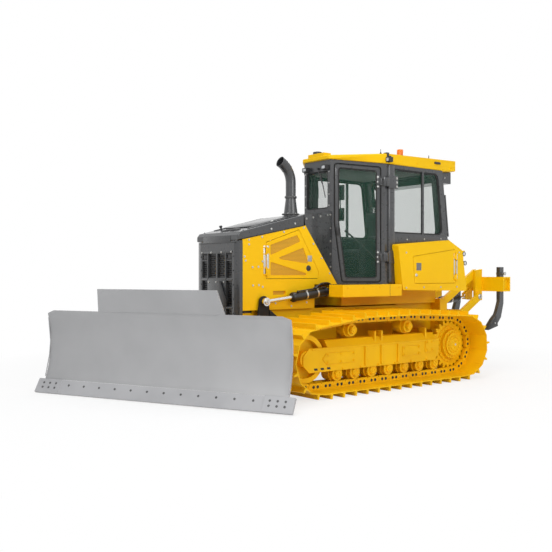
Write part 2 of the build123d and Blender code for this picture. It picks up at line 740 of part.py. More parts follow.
with BuildPart() as cab_room:
    plan_plate(grown(cab_plan, -CAB_WALL), (CAB_FOOT - 1, CAB_FRONT_TOP + 1))
    side_plate([
        (cab_rear(CAB_FOOT - 1, CAB_WALL), CAB_FOOT - 1),
        (CAB_FRONT_X, CAB_FOOT - 1),
        (CAB_FRONT_X, CAB_FRONT_TOP + 1),
        (cab_rear(CAB_FRONT_TOP + 1, CAB_WALL), CAB_FRONT_TOP + 1),
    ], (-CAB_HALF, CAB_HALF), mode=Mode.INTERSECT)

with BuildPart() as door_pins:
    hinge_pins(DOOR_HINGE_L, CAB_HINGE_Z, CAB_HINGE)
    mirror(about=Plane.XZ)

with BuildPart() as cab_gaps:
    side_plate(door_outline, (-CAB_WALL * 1.2, CAB_WALL * 0.2), base=DOOR_L, corner=DOOR_CORNER)
    side_plate(side_window, (SIDE_WALL_Y[0] - 1, SIDE_WALL_Y[1] + 1), corner=WINDOW_CORNER)
    mirror(about=Plane.XZ)

with BuildPart() as cab_frame:
    plan_plate(cab_plan, (CAB_FOOT, CAB_FRONT_TOP))
    side_plate([
        (CAB_REAR_FOOT, CAB_FOOT),
        (CAB_FRONT_X, CAB_FOOT),
        (CAB_FRONT_X, CAB_FRONT_TOP),
        (CAB_SIDE_X, CAB_TOP),
        (CAB_REAR_TOP, CAB_TOP),
    ], (-CAB_HALF, CAB_HALF), mode=Mode.INTERSECT)
    add(cab_room.part, mode=Mode.SUBTRACT)
    add(cab_gaps.part, mode=Mode.SUBTRACT)
    front_plate(
        windshield,
        (CAB_FRONT_X - CAB_WALL - 1, CAB_FRONT_X + 1),
        mode=Mode.SUBTRACT,
        corner=WINDSHIELD_CORNER,
    )
    front_plate(
        rear_window,
        (CAB_REAR_FOOT, cab_rear(CAB_TOP, CAB_WALL + 1)),
        mode=Mode.SUBTRACT,
        corner=WINDOW_CORNER,
    )
    add(door_pins.part)
    bar_x = (WINDOW_BAR_X - WINDOW_BAR / 2, WINDOW_BAR_X + WINDOW_BAR / 2)
    for side in (-1, 1):
        block(bar_x, sorted((side * (CAB_HALF - pane), side * CAB_HALF)), WINDOW_Z)

with BuildPart() as cab_glass:
    front_plate(
        grown(rear_window, -SEAT_GAP),
        (CAB_REAR_FOOT, cab_rear(CAB_TOP, CAB_WALL)),
        corner=WINDOW_CORNER - SEAT_GAP,
    )
    low, high = WINDOW_Z
    side_plate([
        (cab_rear(low, pane), low),
        (cab_rear(low, pane + GLASS), low),
        (cab_rear(high, pane + GLASS), high),
        (cab_rear(high, pane), high),
    ], (-CAB_HALF, CAB_HALF), mode=Mode.INTERSECT)
    front_plate(
        grown(windshield, -SEAT_GAP),
        (CAB_FRONT_X - pane - GLASS, CAB_FRONT_X - pane),
        corner=WINDSHIELD_CORNER - SEAT_GAP,
    )
    for side in (-1, 1):
        faces = sorted((side * (CAB_HALF - pane - GLASS), side * (CAB_HALF - pane)))
        side_plate(grown(side_window, -SEAT_GAP), faces, corner=WINDOW_CORNER - SEAT_GAP)

with BuildPart() as cab_door_l:
    door_leaf = grown(door_outline, -DOOR_GAP)
    side_plate(door_leaf, (-CAB_WALL * 0.85, 0), base=DOOR_L, corner=DOOR_CORNER - DOOR_GAP)
    door_window = grown(door_outline, -DOOR_GAP - DOOR_FRAME)
    side_plate(door_window, (-CAB_WALL, 1), base=DOOR_L, mode=Mode.SUBTRACT, corner=DOOR_WINDOW_CORNER)
    hinge_leaf(DOOR_HINGE_L, CAB_HINGE_Z, CAB_HINGE)

with BuildPart() as cab_door_r:
    mirror(cab_door_l.part, about=Plane.XZ)

with BuildPart() as door_glass_l:
    door_pane = grown(door_window, -SEAT_GAP)
    side_plate(door_pane, (-pane - GLASS, -pane), base=DOOR_L, corner=DOOR_WINDOW_CORNER - SEAT_GAP)

with BuildPart() as door_glass_r:
    mirror(door_glass_l.part, about=Plane.XZ)

ROOF_FRONT_Z = 2995
ROOF_MIDDLE_Z = 3000
ROOF_REAR_Z = 3040
ROOF_REAR_X = -1820
ROOF_REAR_HALF = 740
ROOF_REAR_LIP_Z = 2890
roof_x = (CAB_FRONT_X + ROOF_OVERHANG, CAB_SIDE_X, ROOF_REAR_X)


def roof_top(x):
    """Height of the roof's top over a point ahead of the side posts or behind them."""
    ahead = x > CAB_SIDE_X
    x1, x2 = roof_x[:2] if ahead else roof_x[1:]
    z1, z2 = (ROOF_FRONT_Z, ROOF_MIDDLE_Z) if ahead else (ROOF_MIDDLE_Z, ROOF_REAR_Z)
    return z1 + (z2 - z1) * (x - x1) / (x2 - x1)


roof_rise = (CAB_FRONT_TOP - CAB_TOP) / (CAB_FRONT_X - CAB_SIDE_X)
with BuildPart() as cab_roof:
    roof_left = [
        (roof_x[0], CAB_FRONT_HALF),
        (roof_x[1], CAB_HALF + ROOF_OVERHANG),
        (roof_x[2], ROOF_REAR_HALF),
    ]
    plan_plate(roof_left + mirrored(roof_left), (CAB_TOP, ROOF_REAR_Z))
    side_plate([
        (CAB_REAR_TOP - CAB_WALL, CAB_TOP),
        (CAB_SIDE_X, CAB_TOP),
        (roof_x[0], CAB_FRONT_TOP + ROOF_OVERHANG * roof_rise),
        (roof_x[0], ROOF_FRONT_Z),
        (roof_x[1], ROOF_MIDDLE_Z),
        (roof_x[2], ROOF_REAR_Z),
        (roof_x[2], ROOF_REAR_LIP_Z),
    ], (-CAB_HALF - ROOF_OVERHANG, CAB_HALF + ROOF_OVERHANG), mode=Mode.INTERSECT)

AIRCON_HALF = 640
AIRCON_FOOT_Z = 2720
with BuildPart() as aircon_box:
    side_plate([
        (roof_x[2] - 20, AIRCON_FOOT_Z),
        (cab_rear(AIRCON_FOOT_Z, -5), AIRCON_FOOT_Z),
        (cab_rear(CAB_TOP, -25), CAB_TOP),
        (CAB_REAR_TOP - CAB_WALL, CAB_TOP),
        (roof_x[2], ROOF_REAR_LIP_Z),
        (roof_x[2] - 20, ROOF_REAR_LIP_Z),
    ], (-AIRCON_HALF, AIRCON_HALF))

BODY_FRONT = ((-536, 1205), (-440, 1808))
BODY_REAR = ((-1479, 1887), (-1766, 1752), (-1878, 1172))
RAIL_R = 14
RAIL_STANDOFF = 60
HANDRAIL_Y = CAB_HALF - 40
HANDRAIL_Z = (2010, 2480)
with BuildPart() as handrails:
    rail_z = (HANDRAIL_Z[0] - RAIL_STANDOFF, HANDRAIL_Z[1] + RAIL_STANDOFF)
    rail_ends = [(cab_rear(z, -RAIL_STANDOFF), HANDRAIL_Y, z) for z in rail_z]
    rod(*rail_ends, RAIL_R)
    for z in HANDRAIL_Z:
        rod((cab_rear(z, -RAIL_STANDOFF), HANDRAIL_Y, z), (cab_rear(z, RAIL_R), HANDRAIL_Y, z), RAIL_R)
    mirror(about=Plane.XZ)
    add(cab_frame.part, mode=Mode.SUBTRACT)

LAMP = 60
LAMP_WIDTH = 90
NOSE_LAMP_INSET = 14
REAR_LAMP_Z = (1570, 1700)
LAMP_Z = (CAB_TOP - 62, CAB_TOP - 2)
FRONT_LAMP_Y = 195
with BuildPart() as work_lamps:
    block(
        (CAB_FRONT_X, CAB_FRONT_X + LAMP),
        (FRONT_LAMP_Y - LAMP_WIDTH / 2, FRONT_LAMP_Y + LAMP_WIDTH / 2),
        LAMP_Z,
    )
    block(
        (CAB_SIDE_X - LAMP, CAB_SIDE_X + 10),
        (CAB_HALF + ROOF_OVERHANG - 5, CAB_HALF + ROOF_OVERHANG + LAMP),
        (CAB_TOP + 15, CAB_TOP + 80),
    )
    nose_lamp = frame_of(NOSE_LAMP_Y, NOSE_LAMP_Z)
    front_plate(grown(nose_lamp, -SEAT_GAP), (NOSE_X - LAMP, NOSE_X - NOSE_LAMP_INSET))
    for z in REAR_LAMP_Z:
        foot = z - LAMP / 2
        share = (foot - BODY_REAR[2][1]) / (BODY_REAR[1][1] - BODY_REAR[2][1])
        face_x = BODY_REAR[2][0] + (BODY_REAR[1][0] - BODY_REAR[2][0]) * share
        block((face_x - LAMP, face_x), (DECK_OUTER - LAMP_WIDTH, DECK_OUTER - 10), (foot, foot + LAMP))
    mirror(about=Plane.XZ)
    add(cab_roof.part, mode=Mode.SUBTRACT)

BEACON = (-760, 640)
BEACON_R = 48
BEACON_HEIGHT = 105
with BuildPart() as beacon:
    rod((*BEACON, roof_top(BEACON[0] - BEACON_R)), (*BEACON, roof_top(BEACON[0]) + BEACON_HEIGHT), BEACON_R)

ROOF_BOX_X = (75, 205)
ROOF_BOX_HALF = 160
ROOF_BOX_HEIGHT = 45
ROOF_BOX_TOP = roof_top(ROOF_BOX_X[0]) + ROOF_BOX_HEIGHT
DOME_R = 58
DOME_HEIGHT = 30
with BuildPart() as roof_fittings:
    side_plate([
        (ROOF_BOX_X[0], roof_top(ROOF_BOX_X[0])),
        (ROOF_BOX_X[1], roof_top(ROOF_BOX_X[1])),
        (ROOF_BOX_X[1], ROOF_BOX_TOP),
        (ROOF_BOX_X[0], ROOF_BOX_TOP),
    ], (-ROOF_BOX_HALF, ROOF_BOX_HALF))
    dome_foot = (sum(ROOF_BOX_X) / 2, -40, ROOF_BOX_TOP)
    rod(dome_foot, (*dome_foot[:2], ROOF_BOX_TOP + DOME_HEIGHT), DOME_R)

# Seat and consoles
SEAT_X = (-900, -400)
SEAT_HALF = 250
SEAT_Z = (1640, 1760)
SEAT_MARGIN = 40
BACK_TOP = 2340
BACK_PLATE_X = (SEAT_X[0] - 140, SEAT_X[0] - 115)
BACK_PLATE_FOOT = SEAT_Z[0] - 140
with BuildPart() as seat_frame:
    base_half = SEAT_HALF - SEAT_MARGIN
    arm_half = base_half - 50
    block(
        (SEAT_X[0] + SEAT_MARGIN, SEAT_X[1] - SEAT_MARGIN),
        (-base_half, base_half),
        (CAB_FOOT, SEAT_Z[0]),
    )
    block(
        (BACK_PLATE_X[0], SEAT_X[0] + SEAT_MARGIN),
        (-arm_half, arm_half),
        (BACK_PLATE_FOOT, SEAT_Z[0] - 20),
    )
    block(BACK_PLATE_X, (-base_half, base_half), (BACK_PLATE_FOOT, BACK_TOP - SEAT_MARGIN))

with BuildPart() as seat_cushions:
    block(SEAT_X, (-SEAT_HALF, SEAT_HALF), (SEAT_Z[0] + SEAT_GAP, SEAT_Z[1]))
    block(
        (BACK_PLATE_X[1] + SEAT_GAP, SEAT_X[0] - 5),
        (-SEAT_HALF + 10, SEAT_HALF - 10),
        (SEAT_Z[1] - 60, BACK_TOP),
    )

CONSOLE_X = (-820, -330)
CONSOLE_Y = (280, 400)
CONSOLE_TOP = 1880
with BuildPart() as consoles:
    block(CONSOLE_X, CONSOLE_Y, (CAB_FOOT, CONSOLE_TOP))
    mirror(about=Plane.XZ)

# Rear body
BODY_CORNER = 28
SERVICE_CORNER = 30
SERVICE_THICK = 25
service_outline = [(-1620, 1285), (-760, 1285), (-730, 1655), (-1620, 1765)]
SERVICE_HINGE_L = Plane(origin=(service_outline[0][0], DECK_OUTER, 0), x_dir=(1, 0, 0), z_dir=(0, 0, 1))
SERVICE_HINGE_Z = (1370, 1660)
with BuildPart() as service_pins:
    hinge_pins(SERVICE_HINGE_L, SERVICE_HINGE_Z, HATCH_HINGE)
    mirror(about=Plane.XZ)

with BuildPart() as rear_body:
    side_plate([*BODY_FRONT, *BODY_REAR], (-DECK_OUTER, DECK_OUTER), corner=BODY_CORNER)
    block((HULL_X[0], 0), (-CAB_HALF - 5, CAB_HALF + 5), (CAB_FOOT, CAB_TOP), mode=Mode.SUBTRACT)
    block((HULL_X[0], 0), (-PLATFORM_HALF, PLATFORM_HALF), PLATFORM_Z, mode=Mode.SUBTRACT)
    for side in (-1, 1):
        faces = sorted((side * (DECK_OUTER - SERVICE_THICK - 2), side * DECK_OUTER))
        side_plate(service_outline, faces, mode=Mode.SUBTRACT, corner=SERVICE_CORNER)
    add(service_pins.part)

with BuildPart() as service_door_l:
    service_leaf = grown(service_outline, -ENGINE_DOOR_GAP)
    leaf_corner = SERVICE_CORNER - ENGINE_DOOR_GAP
    side_plate(service_leaf, (DECK_OUTER - SERVICE_THICK, DECK_OUTER), corner=leaf_corner)
    hinge_leaf(SERVICE_HINGE_L, SERVICE_HINGE_Z, HATCH_HINGE)

with BuildPart() as service_door_r:
    mirror(service_door_l.part, about=Plane.XZ)

# Blade and cutting edge
EDGE_FOOT_Z = 20
EDGE_TOP = (EDGE_X - 93, 170)
BOARD_MIDDLE = (660, 560)
BOARD_TOP_X = 707
GUARD_TOP_X = 802
RIB = 24
RIB_Y = (330, 900, 1500)
BACK_X = 500
PUSH_BLOCK_X = 300
PUSH_BLOCK_HALF = (140, 130)
LOW_BEAM_Z = (190, 420)
TOP_BEAM_Z = (760, 900)
RIB_TOP_Z = BLADE_TOP_Z - 19
RIB_SET = 60
CREST_RUN = 97
CREST_RISE = 36
BOARD_TOP = (BOARD_TOP_X, BLADE_TOP_Z)
BACK_TOP_POINT = (BOARD_TOP_X - MOLDBOARD, BLADE_TOP_Z)
BACK_MIDDLE = (BOARD_MIDDLE[0] - MOLDBOARD, BOARD_MIDDLE[1])
BACK_FOOT = (EDGE_TOP[0] - MOLDBOARD, EDGE_TOP[1])
board_plane = on(BLADE, Plane.XZ.offset(-BLADE_WIDTH / 2))
with BuildPart() as blade:
    with BuildSketch(board_plane):
        with BuildLine():
            ThreePointArc(EDGE_TOP, BOARD_MIDDLE, BOARD_TOP)
            Polyline(
                BOARD_TOP,
                (GUARD_TOP_X, GUARD_TOP_Z),
                (GUARD_TOP_X - MOLDBOARD, GUARD_TOP_Z),
                BACK_TOP_POINT,
            )
            ThreePointArc(BACK_TOP_POINT, BACK_MIDDLE, BACK_FOOT)
            Line(BACK_FOOT, EDGE_TOP)
        make_face()
    extrude(amount=BLADE_WIDTH)
    crest = [
        (BLADE_WIDTH / 2, EDGE_TOP[1] - 10),
        (BLADE_WIDTH / 2, BLADE_TOP_Z),
        (BLADE_WIDTH / 2 - CREST_RUN, BLADE_TOP_Z + CREST_RISE),
        (GUARD_HALF + 52, BLADE_TOP_Z + CREST_RISE),
        (GUARD_HALF, GUARD_TOP_Z),
    ]
    crest_outline = crest + [(-y, z) for y, z in reversed(crest)]
    front_plate(crest_outline, (BACK_X, EDGE_X), base=BLADE, mode=Mode.INTERSECT)

with BuildPart() as ahead_of_back:
    with BuildSketch(board_plane):
        with BuildLine():
            ThreePointArc(BACK_TOP_POINT, BACK_MIDDLE, BACK_FOOT)
            Polyline(BACK_FOOT, (EDGE_X, BACK_FOOT[1]), (EDGE_X, BLADE_TOP_Z), BACK_TOP_POINT)
        make_face()
    extrude(amount=BLADE_WIDTH)

with BuildPart() as blade_back:
    block((BACK_X, BOARD_MIDDLE[0]), (-RIB_Y[-1], RIB_Y[-1]), LOW_BEAM_Z, base=BLADE)
    block((BACK_X + RIB_SET, BOARD_MIDDLE[0] + 10), (-RIB_Y[-1], RIB_Y[-1]), TOP_BEAM_Z, base=BLADE)
    for y in (*RIB_Y, *(-y for y in RIB_Y)):
        side_plate([
            (BACK_X, LOW_BEAM_Z[0]),
            (BOARD_MIDDLE[0], LOW_BEAM_Z[0]),
            (BOARD_MIDDLE[0] - 5, BOARD_MIDDLE[1]),
            (BOARD_TOP_X - 17, RIB_TOP_Z),
            (BACK_X + RIB_SET, RIB_TOP_Z),
            (BACK_X, LOW_BEAM_Z[1]),
        ], (y - RIB / 2, y + RIB / 2), base=BLADE)
    block(
        (PUSH_BLOCK_X, BOARD_MIDDLE[0] - 20),
        (-PUSH_BLOCK_HALF[0], PUSH_BLOCK_HALF[0]),
        (TILT_Z - PUSH_BLOCK_HALF[1], TILT_Z + PUSH_BLOCK_HALF[1]),
        base=BLADE,
    )
    rod(
        (PUSH_BLOCK_X - 1, 0, TILT_Z),
        (PUSH_BLOCK_X + 145, 0, TILT_Z),
        TILT_SHAFT_R + PIN_GAP,
        base=BLADE,
        mode=Mode.SUBTRACT,
    )
    lug_y = (TILT_EYE_Y - 40, TILT_EYE_Y + 40)
    lug_z = (TILT_CYLINDER_Z - 40, TILT_CYLINDER_Z + 40)
    block((TILT_CYLINDER_X + 29, BACK_X + RIB_SET + 20), lug_y, lug_z, base=BLADE)
    add(ahead_of_back.part, mode=Mode.SUBTRACT)

END_BIT = 346
END_BIT_STEP = 8
EDGE_FOOT = (EDGE_X, EDGE_FOOT_Z)
edge_run = hypot(EDGE_X - EDGE_TOP[0], EDGE_TOP[1] - EDGE_FOOT_Z)
edge_normal = ((EDGE_TOP[1] - EDGE_FOOT_Z) / edge_run, (EDGE_X - EDGE_TOP[0]) / edge_run)


def edge_plate(y, front):
    """Length of cutting edge whose face stands a distance ahead of the plain edge."""
    outline = [
        (x + edge_normal[0] * depth, z + edge_normal[1] * depth)
        for depth, ends in ((front, (EDGE_FOOT, EDGE_TOP)), (-EDGE_PLATE, (EDGE_TOP, EDGE_FOOT)))
        for x, z in ends
    ]
    side_plate(outline, y, base=BLADE)


with BuildPart() as cutting_edge:
    edge_plate((END_BIT - EDGE_WIDTH / 2, EDGE_WIDTH / 2 - END_BIT), 0)
    edge_plate((-EDGE_WIDTH / 2, END_BIT - EDGE_WIDTH / 2), END_BIT_STEP)
    edge_plate((EDGE_WIDTH / 2 - END_BIT, EDGE_WIDTH / 2), END_BIT_STEP)

# C-frame
LUG_PLATE = 22
LUG_FOOT = 150
LUG_R = 68
KINGPIN_R = 40
FORK_PLATE = 30
FORK_HALF = 110
HUB_R = 60
ANGLE_EAR_Z = ((ANGLE_Z - 40, ANGLE_Z - 22), (ANGLE_Z + 22, ANGLE_Z + 40))
ANGLE_EAR_TOP = ANGLE_EAR_Z[1][1]
ANGLE_PIN_R = ANGLE_ROD_R * 0.7
with BuildPart() as c_frame:
    for side in (-1, 1):
        arm = sorted((side * ARM_Y[0], side * ARM_Y[1]))
        block((LIFT_PIVOT[0], CROSS_X[1]), arm, ARM_Z)
        cross_disc(LIFT_PIVOT, PIVOT_BOSS_R, arm)
        cross_disc(LIFT_PIVOT, LIFT_PIN_R + PIN_GAP, arm, mode=Mode.SUBTRACT)
        lug = sorted((side * ARM_Y[0], side * (ARM_Y[0] + LUG_PLATE)))
        side_plate([
            (LIFT_EYE[0] - LUG_FOOT, ARM_Z[1]),
            (LIFT_EYE[0] + LUG_FOOT, ARM_Z[1]),
            (LIFT_EYE[0] + LUG_R, LIFT_EYE[1]),
            (LIFT_EYE[0] - LUG_R, LIFT_EYE[1]),
        ], lug)
        cross_disc(LIFT_EYE, LUG_R, lug)
        ear_y = sorted((side * (ANGLE_BASE[1] - 40), side * (ANGLE_BASE[1] + 30)))
        block((ANGLE_BASE[0] - 100, ANGLE_BASE[0] - 45), ear_y, (ARM_Z[1], ANGLE_EAR_TOP))
        for ear_z in ANGLE_EAR_Z:
            block((ANGLE_BASE[0] - 45, ANGLE_BASE[0] + 50), ear_y, ear_z)
        pin = (ANGLE_BASE[0], side * ANGLE_BASE[1])
        rod((*pin, ARM_Z[1]), (*pin, ANGLE_EAR_TOP), ANGLE_PIN_R + PIN_GAP, mode=Mode.SUBTRACT)
    block(CROSS_X, (-ARM_Y[1], ARM_Y[1]), ARM_Z)
    for fork_z in ((ARM_Z[0], ARM_Z[0] + FORK_PLATE), (ARM_Z[1] - FORK_PLATE, ARM_Z[1])):
        block((CROSS_X[1], SWIVEL_X + HUB_R + 20), (-FORK_HALF, FORK_HALF), fork_z)
    rod((SWIVEL_X, 0, ARM_Z[0] - 1), (SWIVEL_X, 0, ARM_Z[1] + 1), KINGPIN_R + PIN_GAP, mode=Mode.SUBTRACT)

# Swivel between the C-frame and the blade
SWIVEL_BEAM_X = (170, 260)
SWIVEL_BEAM_Z = (ANGLE_Z - 55, ANGLE_Z + 65)
HUB_Z = (ARM_Z[0] + FORK_PLATE + 1, ARM_Z[1] - FORK_PLATE - 1)
with BuildPart() as blade_swivel:
    rod((0, 0, HUB_Z[0]), (0, 0, HUB_Z[1]), HUB_R, base=BLADE)
    rod((0, 0, ARM_Z[0]), (0, 0, ARM_Z[1]), KINGPIN_R, base=BLADE)
    block((0, SWIVEL_BEAM_X[1]), (-50, 50), HUB_Z, base=BLADE)
    block(SWIVEL_BEAM_X, (-90, 90), (HUB_Z[0], SWIVEL_BEAM_Z[1]), base=BLADE)
    block(SWIVEL_BEAM_X, (-ANGLE_EYE[1] - 40, ANGLE_EYE[1] + 40), SWIVEL_BEAM_Z, base=BLADE)
    for side in (-1, 1):
        ear_y = sorted((side * (ANGLE_EYE[1] - 40), side * (ANGLE_EYE[1] + 40)))
        for ear_z in ANGLE_EAR_Z:
            block((ANGLE_EYE[0] - 40, SWIVEL_BEAM_X[0]), ear_y, ear_z, base=BLADE)
    rod((SWIVEL_BEAM_X[1], 0, TILT_Z), (PUSH_BLOCK_X + 140, 0, TILT_Z), TILT_SHAFT_R, base=BLADE)
    mast_y = (TILT_BASE_Y - 40, TILT_BASE_Y + 40)
    block(SWIVEL_BEAM_X, mast_y, (SWIVEL_BEAM_Z[1], TILT_CYLINDER_Z + 40), base=BLADE)
    block((SWIVEL_BEAM_X[1], TILT_CYLINDER_X - 27), mast_y, lug_z, base=BLADE)
    rod(
        (TILT_CYLINDER_X - 27, TILT_BASE_Y, TILT_CYLINDER_Z),
        (TILT_CYLINDER_X + 27, TILT_BASE_Y, TILT_CYLINDER_Z),
        TILT_ROD_R * 0.8,
        base=BLADE,
    )


def ram_barrel(base, eye, neck, length, radius, bore, frame=MACHINE):
    """Tube of a ram from its base pin towards its rod's eye, bored from its open end."""
    rod(base, along(base, eye, neck), bore * 0.8, frame)
    rod(along(base, eye, neck), along(base, eye, length), radius, frame)
    rod(along(base, eye, neck + radius), along(base, eye, length), bore + PIN_GAP, frame, mode=Mode.SUBTRACT)


# Lift cylinders
LIFT_BARREL = 640
LIFT_ROD_START = 410
LIFT_EYE_R = 50
LIFT_EAR = 18
EYE_HALF = 27
EAR_IN = EYE_HALF + 4
EAR_OUT = EAR_IN + LIFT_EAR
EAR_RISE = 60
LIFT_EYE_PIN_R = LIFT_ROD_R * 0.7
lift_base = (LIFT_BASE[0], LIFT_Y, LIFT_BASE[1])
lift_eye = (LIFT_EYE[0], LIFT_Y, LIFT_EYE[1])
with BuildPart() as lift_brackets:
    wall_x = (BRACKET_BAY[0], LIFT_BASE[0] - 80)
    block(wall_x, (PLATFORM_HALF, LIFT_Y + EAR_OUT), (DECK_Z[0], DECK_Z[1]))
    for faces in ((LIFT_Y - EAR_OUT, LIFT_Y - EAR_IN), (LIFT_Y + EAR_IN, LIFT_Y + EAR_OUT)):
        side_plate([
            (wall_x[1], LIFT_BASE[1] - EAR_RISE),
            (LIFT_BASE[0], LIFT_BASE[1] - LIFT_EYE_R),
            (LIFT_BASE[0], LIFT_BASE[1] + LIFT_EYE_R),
            (wall_x[1], LIFT_BASE[1] + EAR_RISE),
        ], faces)
        cross_disc(LIFT_BASE, LIFT_EYE_R, faces)
        cross_disc(LIFT_BASE, LIFT_EYE_PIN_R + PIN_GAP, faces, mode=Mode.SUBTRACT)
    mirror(about=Plane.XZ)

with BuildPart() as lift_barrels:
    ram_barrel(lift_base, lift_eye, 75, LIFT_BARREL, LIFT_BARREL_R, LIFT_ROD_R)
    cross_disc(LIFT_BASE, LIFT_EYE_R * 0.9, (LIFT_Y - EYE_HALF, LIFT_Y + EYE_HALF))
    cross_disc(LIFT_BASE, LIFT_EYE_PIN_R, (LIFT_Y - EAR_OUT, LIFT_Y + EAR_OUT))
    mirror(about=Plane.XZ)

with BuildPart() as lift_rods:
    rod(along(lift_base, lift_eye, LIFT_ROD_START), lift_eye, LIFT_ROD_R)
    cross_disc(LIFT_EYE, LIFT_EYE_R, (LIFT_Y - EYE_HALF, LIFT_Y + EYE_HALF))
    mirror(about=Plane.XZ)

# Angle cylinders
ANGLE_BARREL = 660
ANGLE_ROD_START = 120
EYE_THICK = 19


def upright_disc(point, radius, half):
    """Upright disc about a point, with half its height to each side."""
    rod((point[0], point[1], point[2] - half), (point[0], point[1], point[2] + half), radius)


def angle_ram(side):
    """Base pin and rod eye of one angle cylinder, in the machine's frame."""
    base = (ANGLE_BASE[0], side * ANGLE_BASE[1], ANGLE_Z)
    eye = BLADE.from_local_coords((ANGLE_EYE[0], side * ANGLE_EYE[1], ANGLE_Z))
    return base, (eye.X, eye.Y, eye.Z)


def angle_barrel(side):
    """Barrel of one angle cylinder with its base eye and pin."""
    base, eye = angle_ram(side)
    ram_barrel(base, eye, 70, ANGLE_BARREL, ANGLE_BARREL_R, ANGLE_ROD_R)
    upright_disc(base, ANGLE_BARREL_R, EYE_THICK)
    upright_disc(base, ANGLE_PIN_R, ANGLE_EAR_TOP - ANGLE_Z)


def angle_rod(side):
    """Rod of one angle cylinder with its eye."""
    base, eye = angle_ram(side)
    length = hypot(eye[0] - base[0], eye[1] - base[1])
    shortest = ANGLE_ROD_START if side > 0 else ANGLE_ROD_START + length - angle_length(1)
    rod(along(base, eye, shortest), eye, ANGLE_ROD_R)
    upright_disc(eye, ANGLE_BARREL_R, EYE_THICK)


def angle_length(side):
    """Length of one angle cylinder at rest."""
    base, eye = angle_ram(side)
    return hypot(eye[0] - base[0], eye[1] - base[1])


with BuildPart() as angle_barrel_l:
    angle_barrel(1)

with BuildPart() as angle_barrel_r:
    angle_barrel(-1)

with BuildPart() as angle_rod_l:
    angle_rod(1)

with BuildPart() as angle_rod_r:
    angle_rod(-1)

# Tilt cylinder
TILT_BARREL = 430
TILT_ROD_START = 200
tilt_base = (TILT_CYLINDER_X, TILT_BASE_Y, TILT_CYLINDER_Z)
tilt_eye = (TILT_CYLINDER_X, TILT_EYE_Y, TILT_CYLINDER_Z)
with BuildPart() as tilt_barrel:
    ram_barrel(tilt_base, tilt_eye, 60, TILT_BARREL, TILT_BARREL_R, TILT_ROD_R, BLADE)
    rod(
        (TILT_CYLINDER_X - 23, TILT_BASE_Y, TILT_CYLINDER_Z),
        (TILT_CYLINDER_X + 23, TILT_BASE_Y, TILT_CYLINDER_Z),
        TILT_BARREL_R,
        BLADE,
    )
    rod(
        (TILT_CYLINDER_X - 28, TILT_BASE_Y, TILT_CYLINDER_Z),
        (TILT_CYLINDER_X + 28, TILT_BASE_Y, TILT_CYLINDER_Z),
        TILT_ROD_R * 0.8 + PIN_GAP,
        BLADE,
        mode=Mode.SUBTRACT,
    )

with BuildPart() as tilt_rod:
    rod(along(tilt_base, tilt_eye, TILT_ROD_START), tilt_eye, TILT_ROD_R, BLADE)
    rod(
        (TILT_CYLINDER_X - 23, TILT_EYE_Y, TILT_CYLINDER_Z),
        (TILT_CYLINDER_X + 23, TILT_EYE_Y, TILT_CYLINDER_Z),
        TILT_BARREL_R * 0.9,
        BLADE,
    )

# Ripper
lower_front = RIPPER_FRONT
upper_front = (RIPPER_FRONT[0], RIPPER_FRONT[1] + RIPPER_RISE)
link_run = (-LINK_LENGTH * cos(radians(LINK_SLOPE)), LINK_LENGTH * sin(radians(LINK_SLOPE)))
lower_rear = (lower_front[0] + link_run[0], lower_front[1] + link_run[1])
upper_rear = (upper_front[0] + link_run[0], upper_front[1] + link_run[1])
BRACKET_X = (-1780, HULL_X[0])
BRACKET_RISE = 80
EAR_GAP = 3
OUTER_LINK_Y = (RIPPER_EAR_Y[1] + EAR_GAP, RIPPER_EAR_Y[1] + EAR_GAP + RIPPER_LINK)
INNER_LINK_Y = (RIPPER_EAR_Y[0] - EAR_GAP - RIPPER_LINK, RIPPER_EAR_Y[0] - EAR_GAP)
CYLINDER_EAR = 16
CYLINDER_EYE = 19
CYLINDER_EAR_IN = CYLINDER_EYE + EAR_GAP
CYLINDER_EAR_OUT = CYLINDER_EAR_IN + CYLINDER_EAR
CYLINDER_EARS = (
    (RIPPER_CYLINDER_Y - CYLINDER_EAR_OUT, RIPPER_CYLINDER_Y - CYLINDER_EAR_IN),
    (RIPPER_CYLINDER_Y + CYLINDER_EAR_IN, RIPPER_CYLINDER_Y + CYLINDER_EAR_OUT),
)
CYLINDER_PIN_R = 20
LINK_HALF = 55


def link_plate(start, end, half, y):
    """Flat link between two pin centres with round ends."""
    run = hypot(end[0] - start[0], end[1] - start[1])
    across = ((start[1] - end[1]) * half / run, (end[0] - start[0]) * half / run)
    side_plate([
        (start[0] + across[0], start[1] + across[1]),
        (start[0] - across[0], start[1] - across[1]),
        (end[0] - across[0], end[1] - across[1]),
        (end[0] + across[0], end[1] + across[1]),
    ], y)
    for centre in (start, end):
        cross_disc(centre, half, y)
    for centre in (start, end):
        cross_disc(centre, RIPPER_PIN_R + PIN_GAP, y, mode=Mode.SUBTRACT)


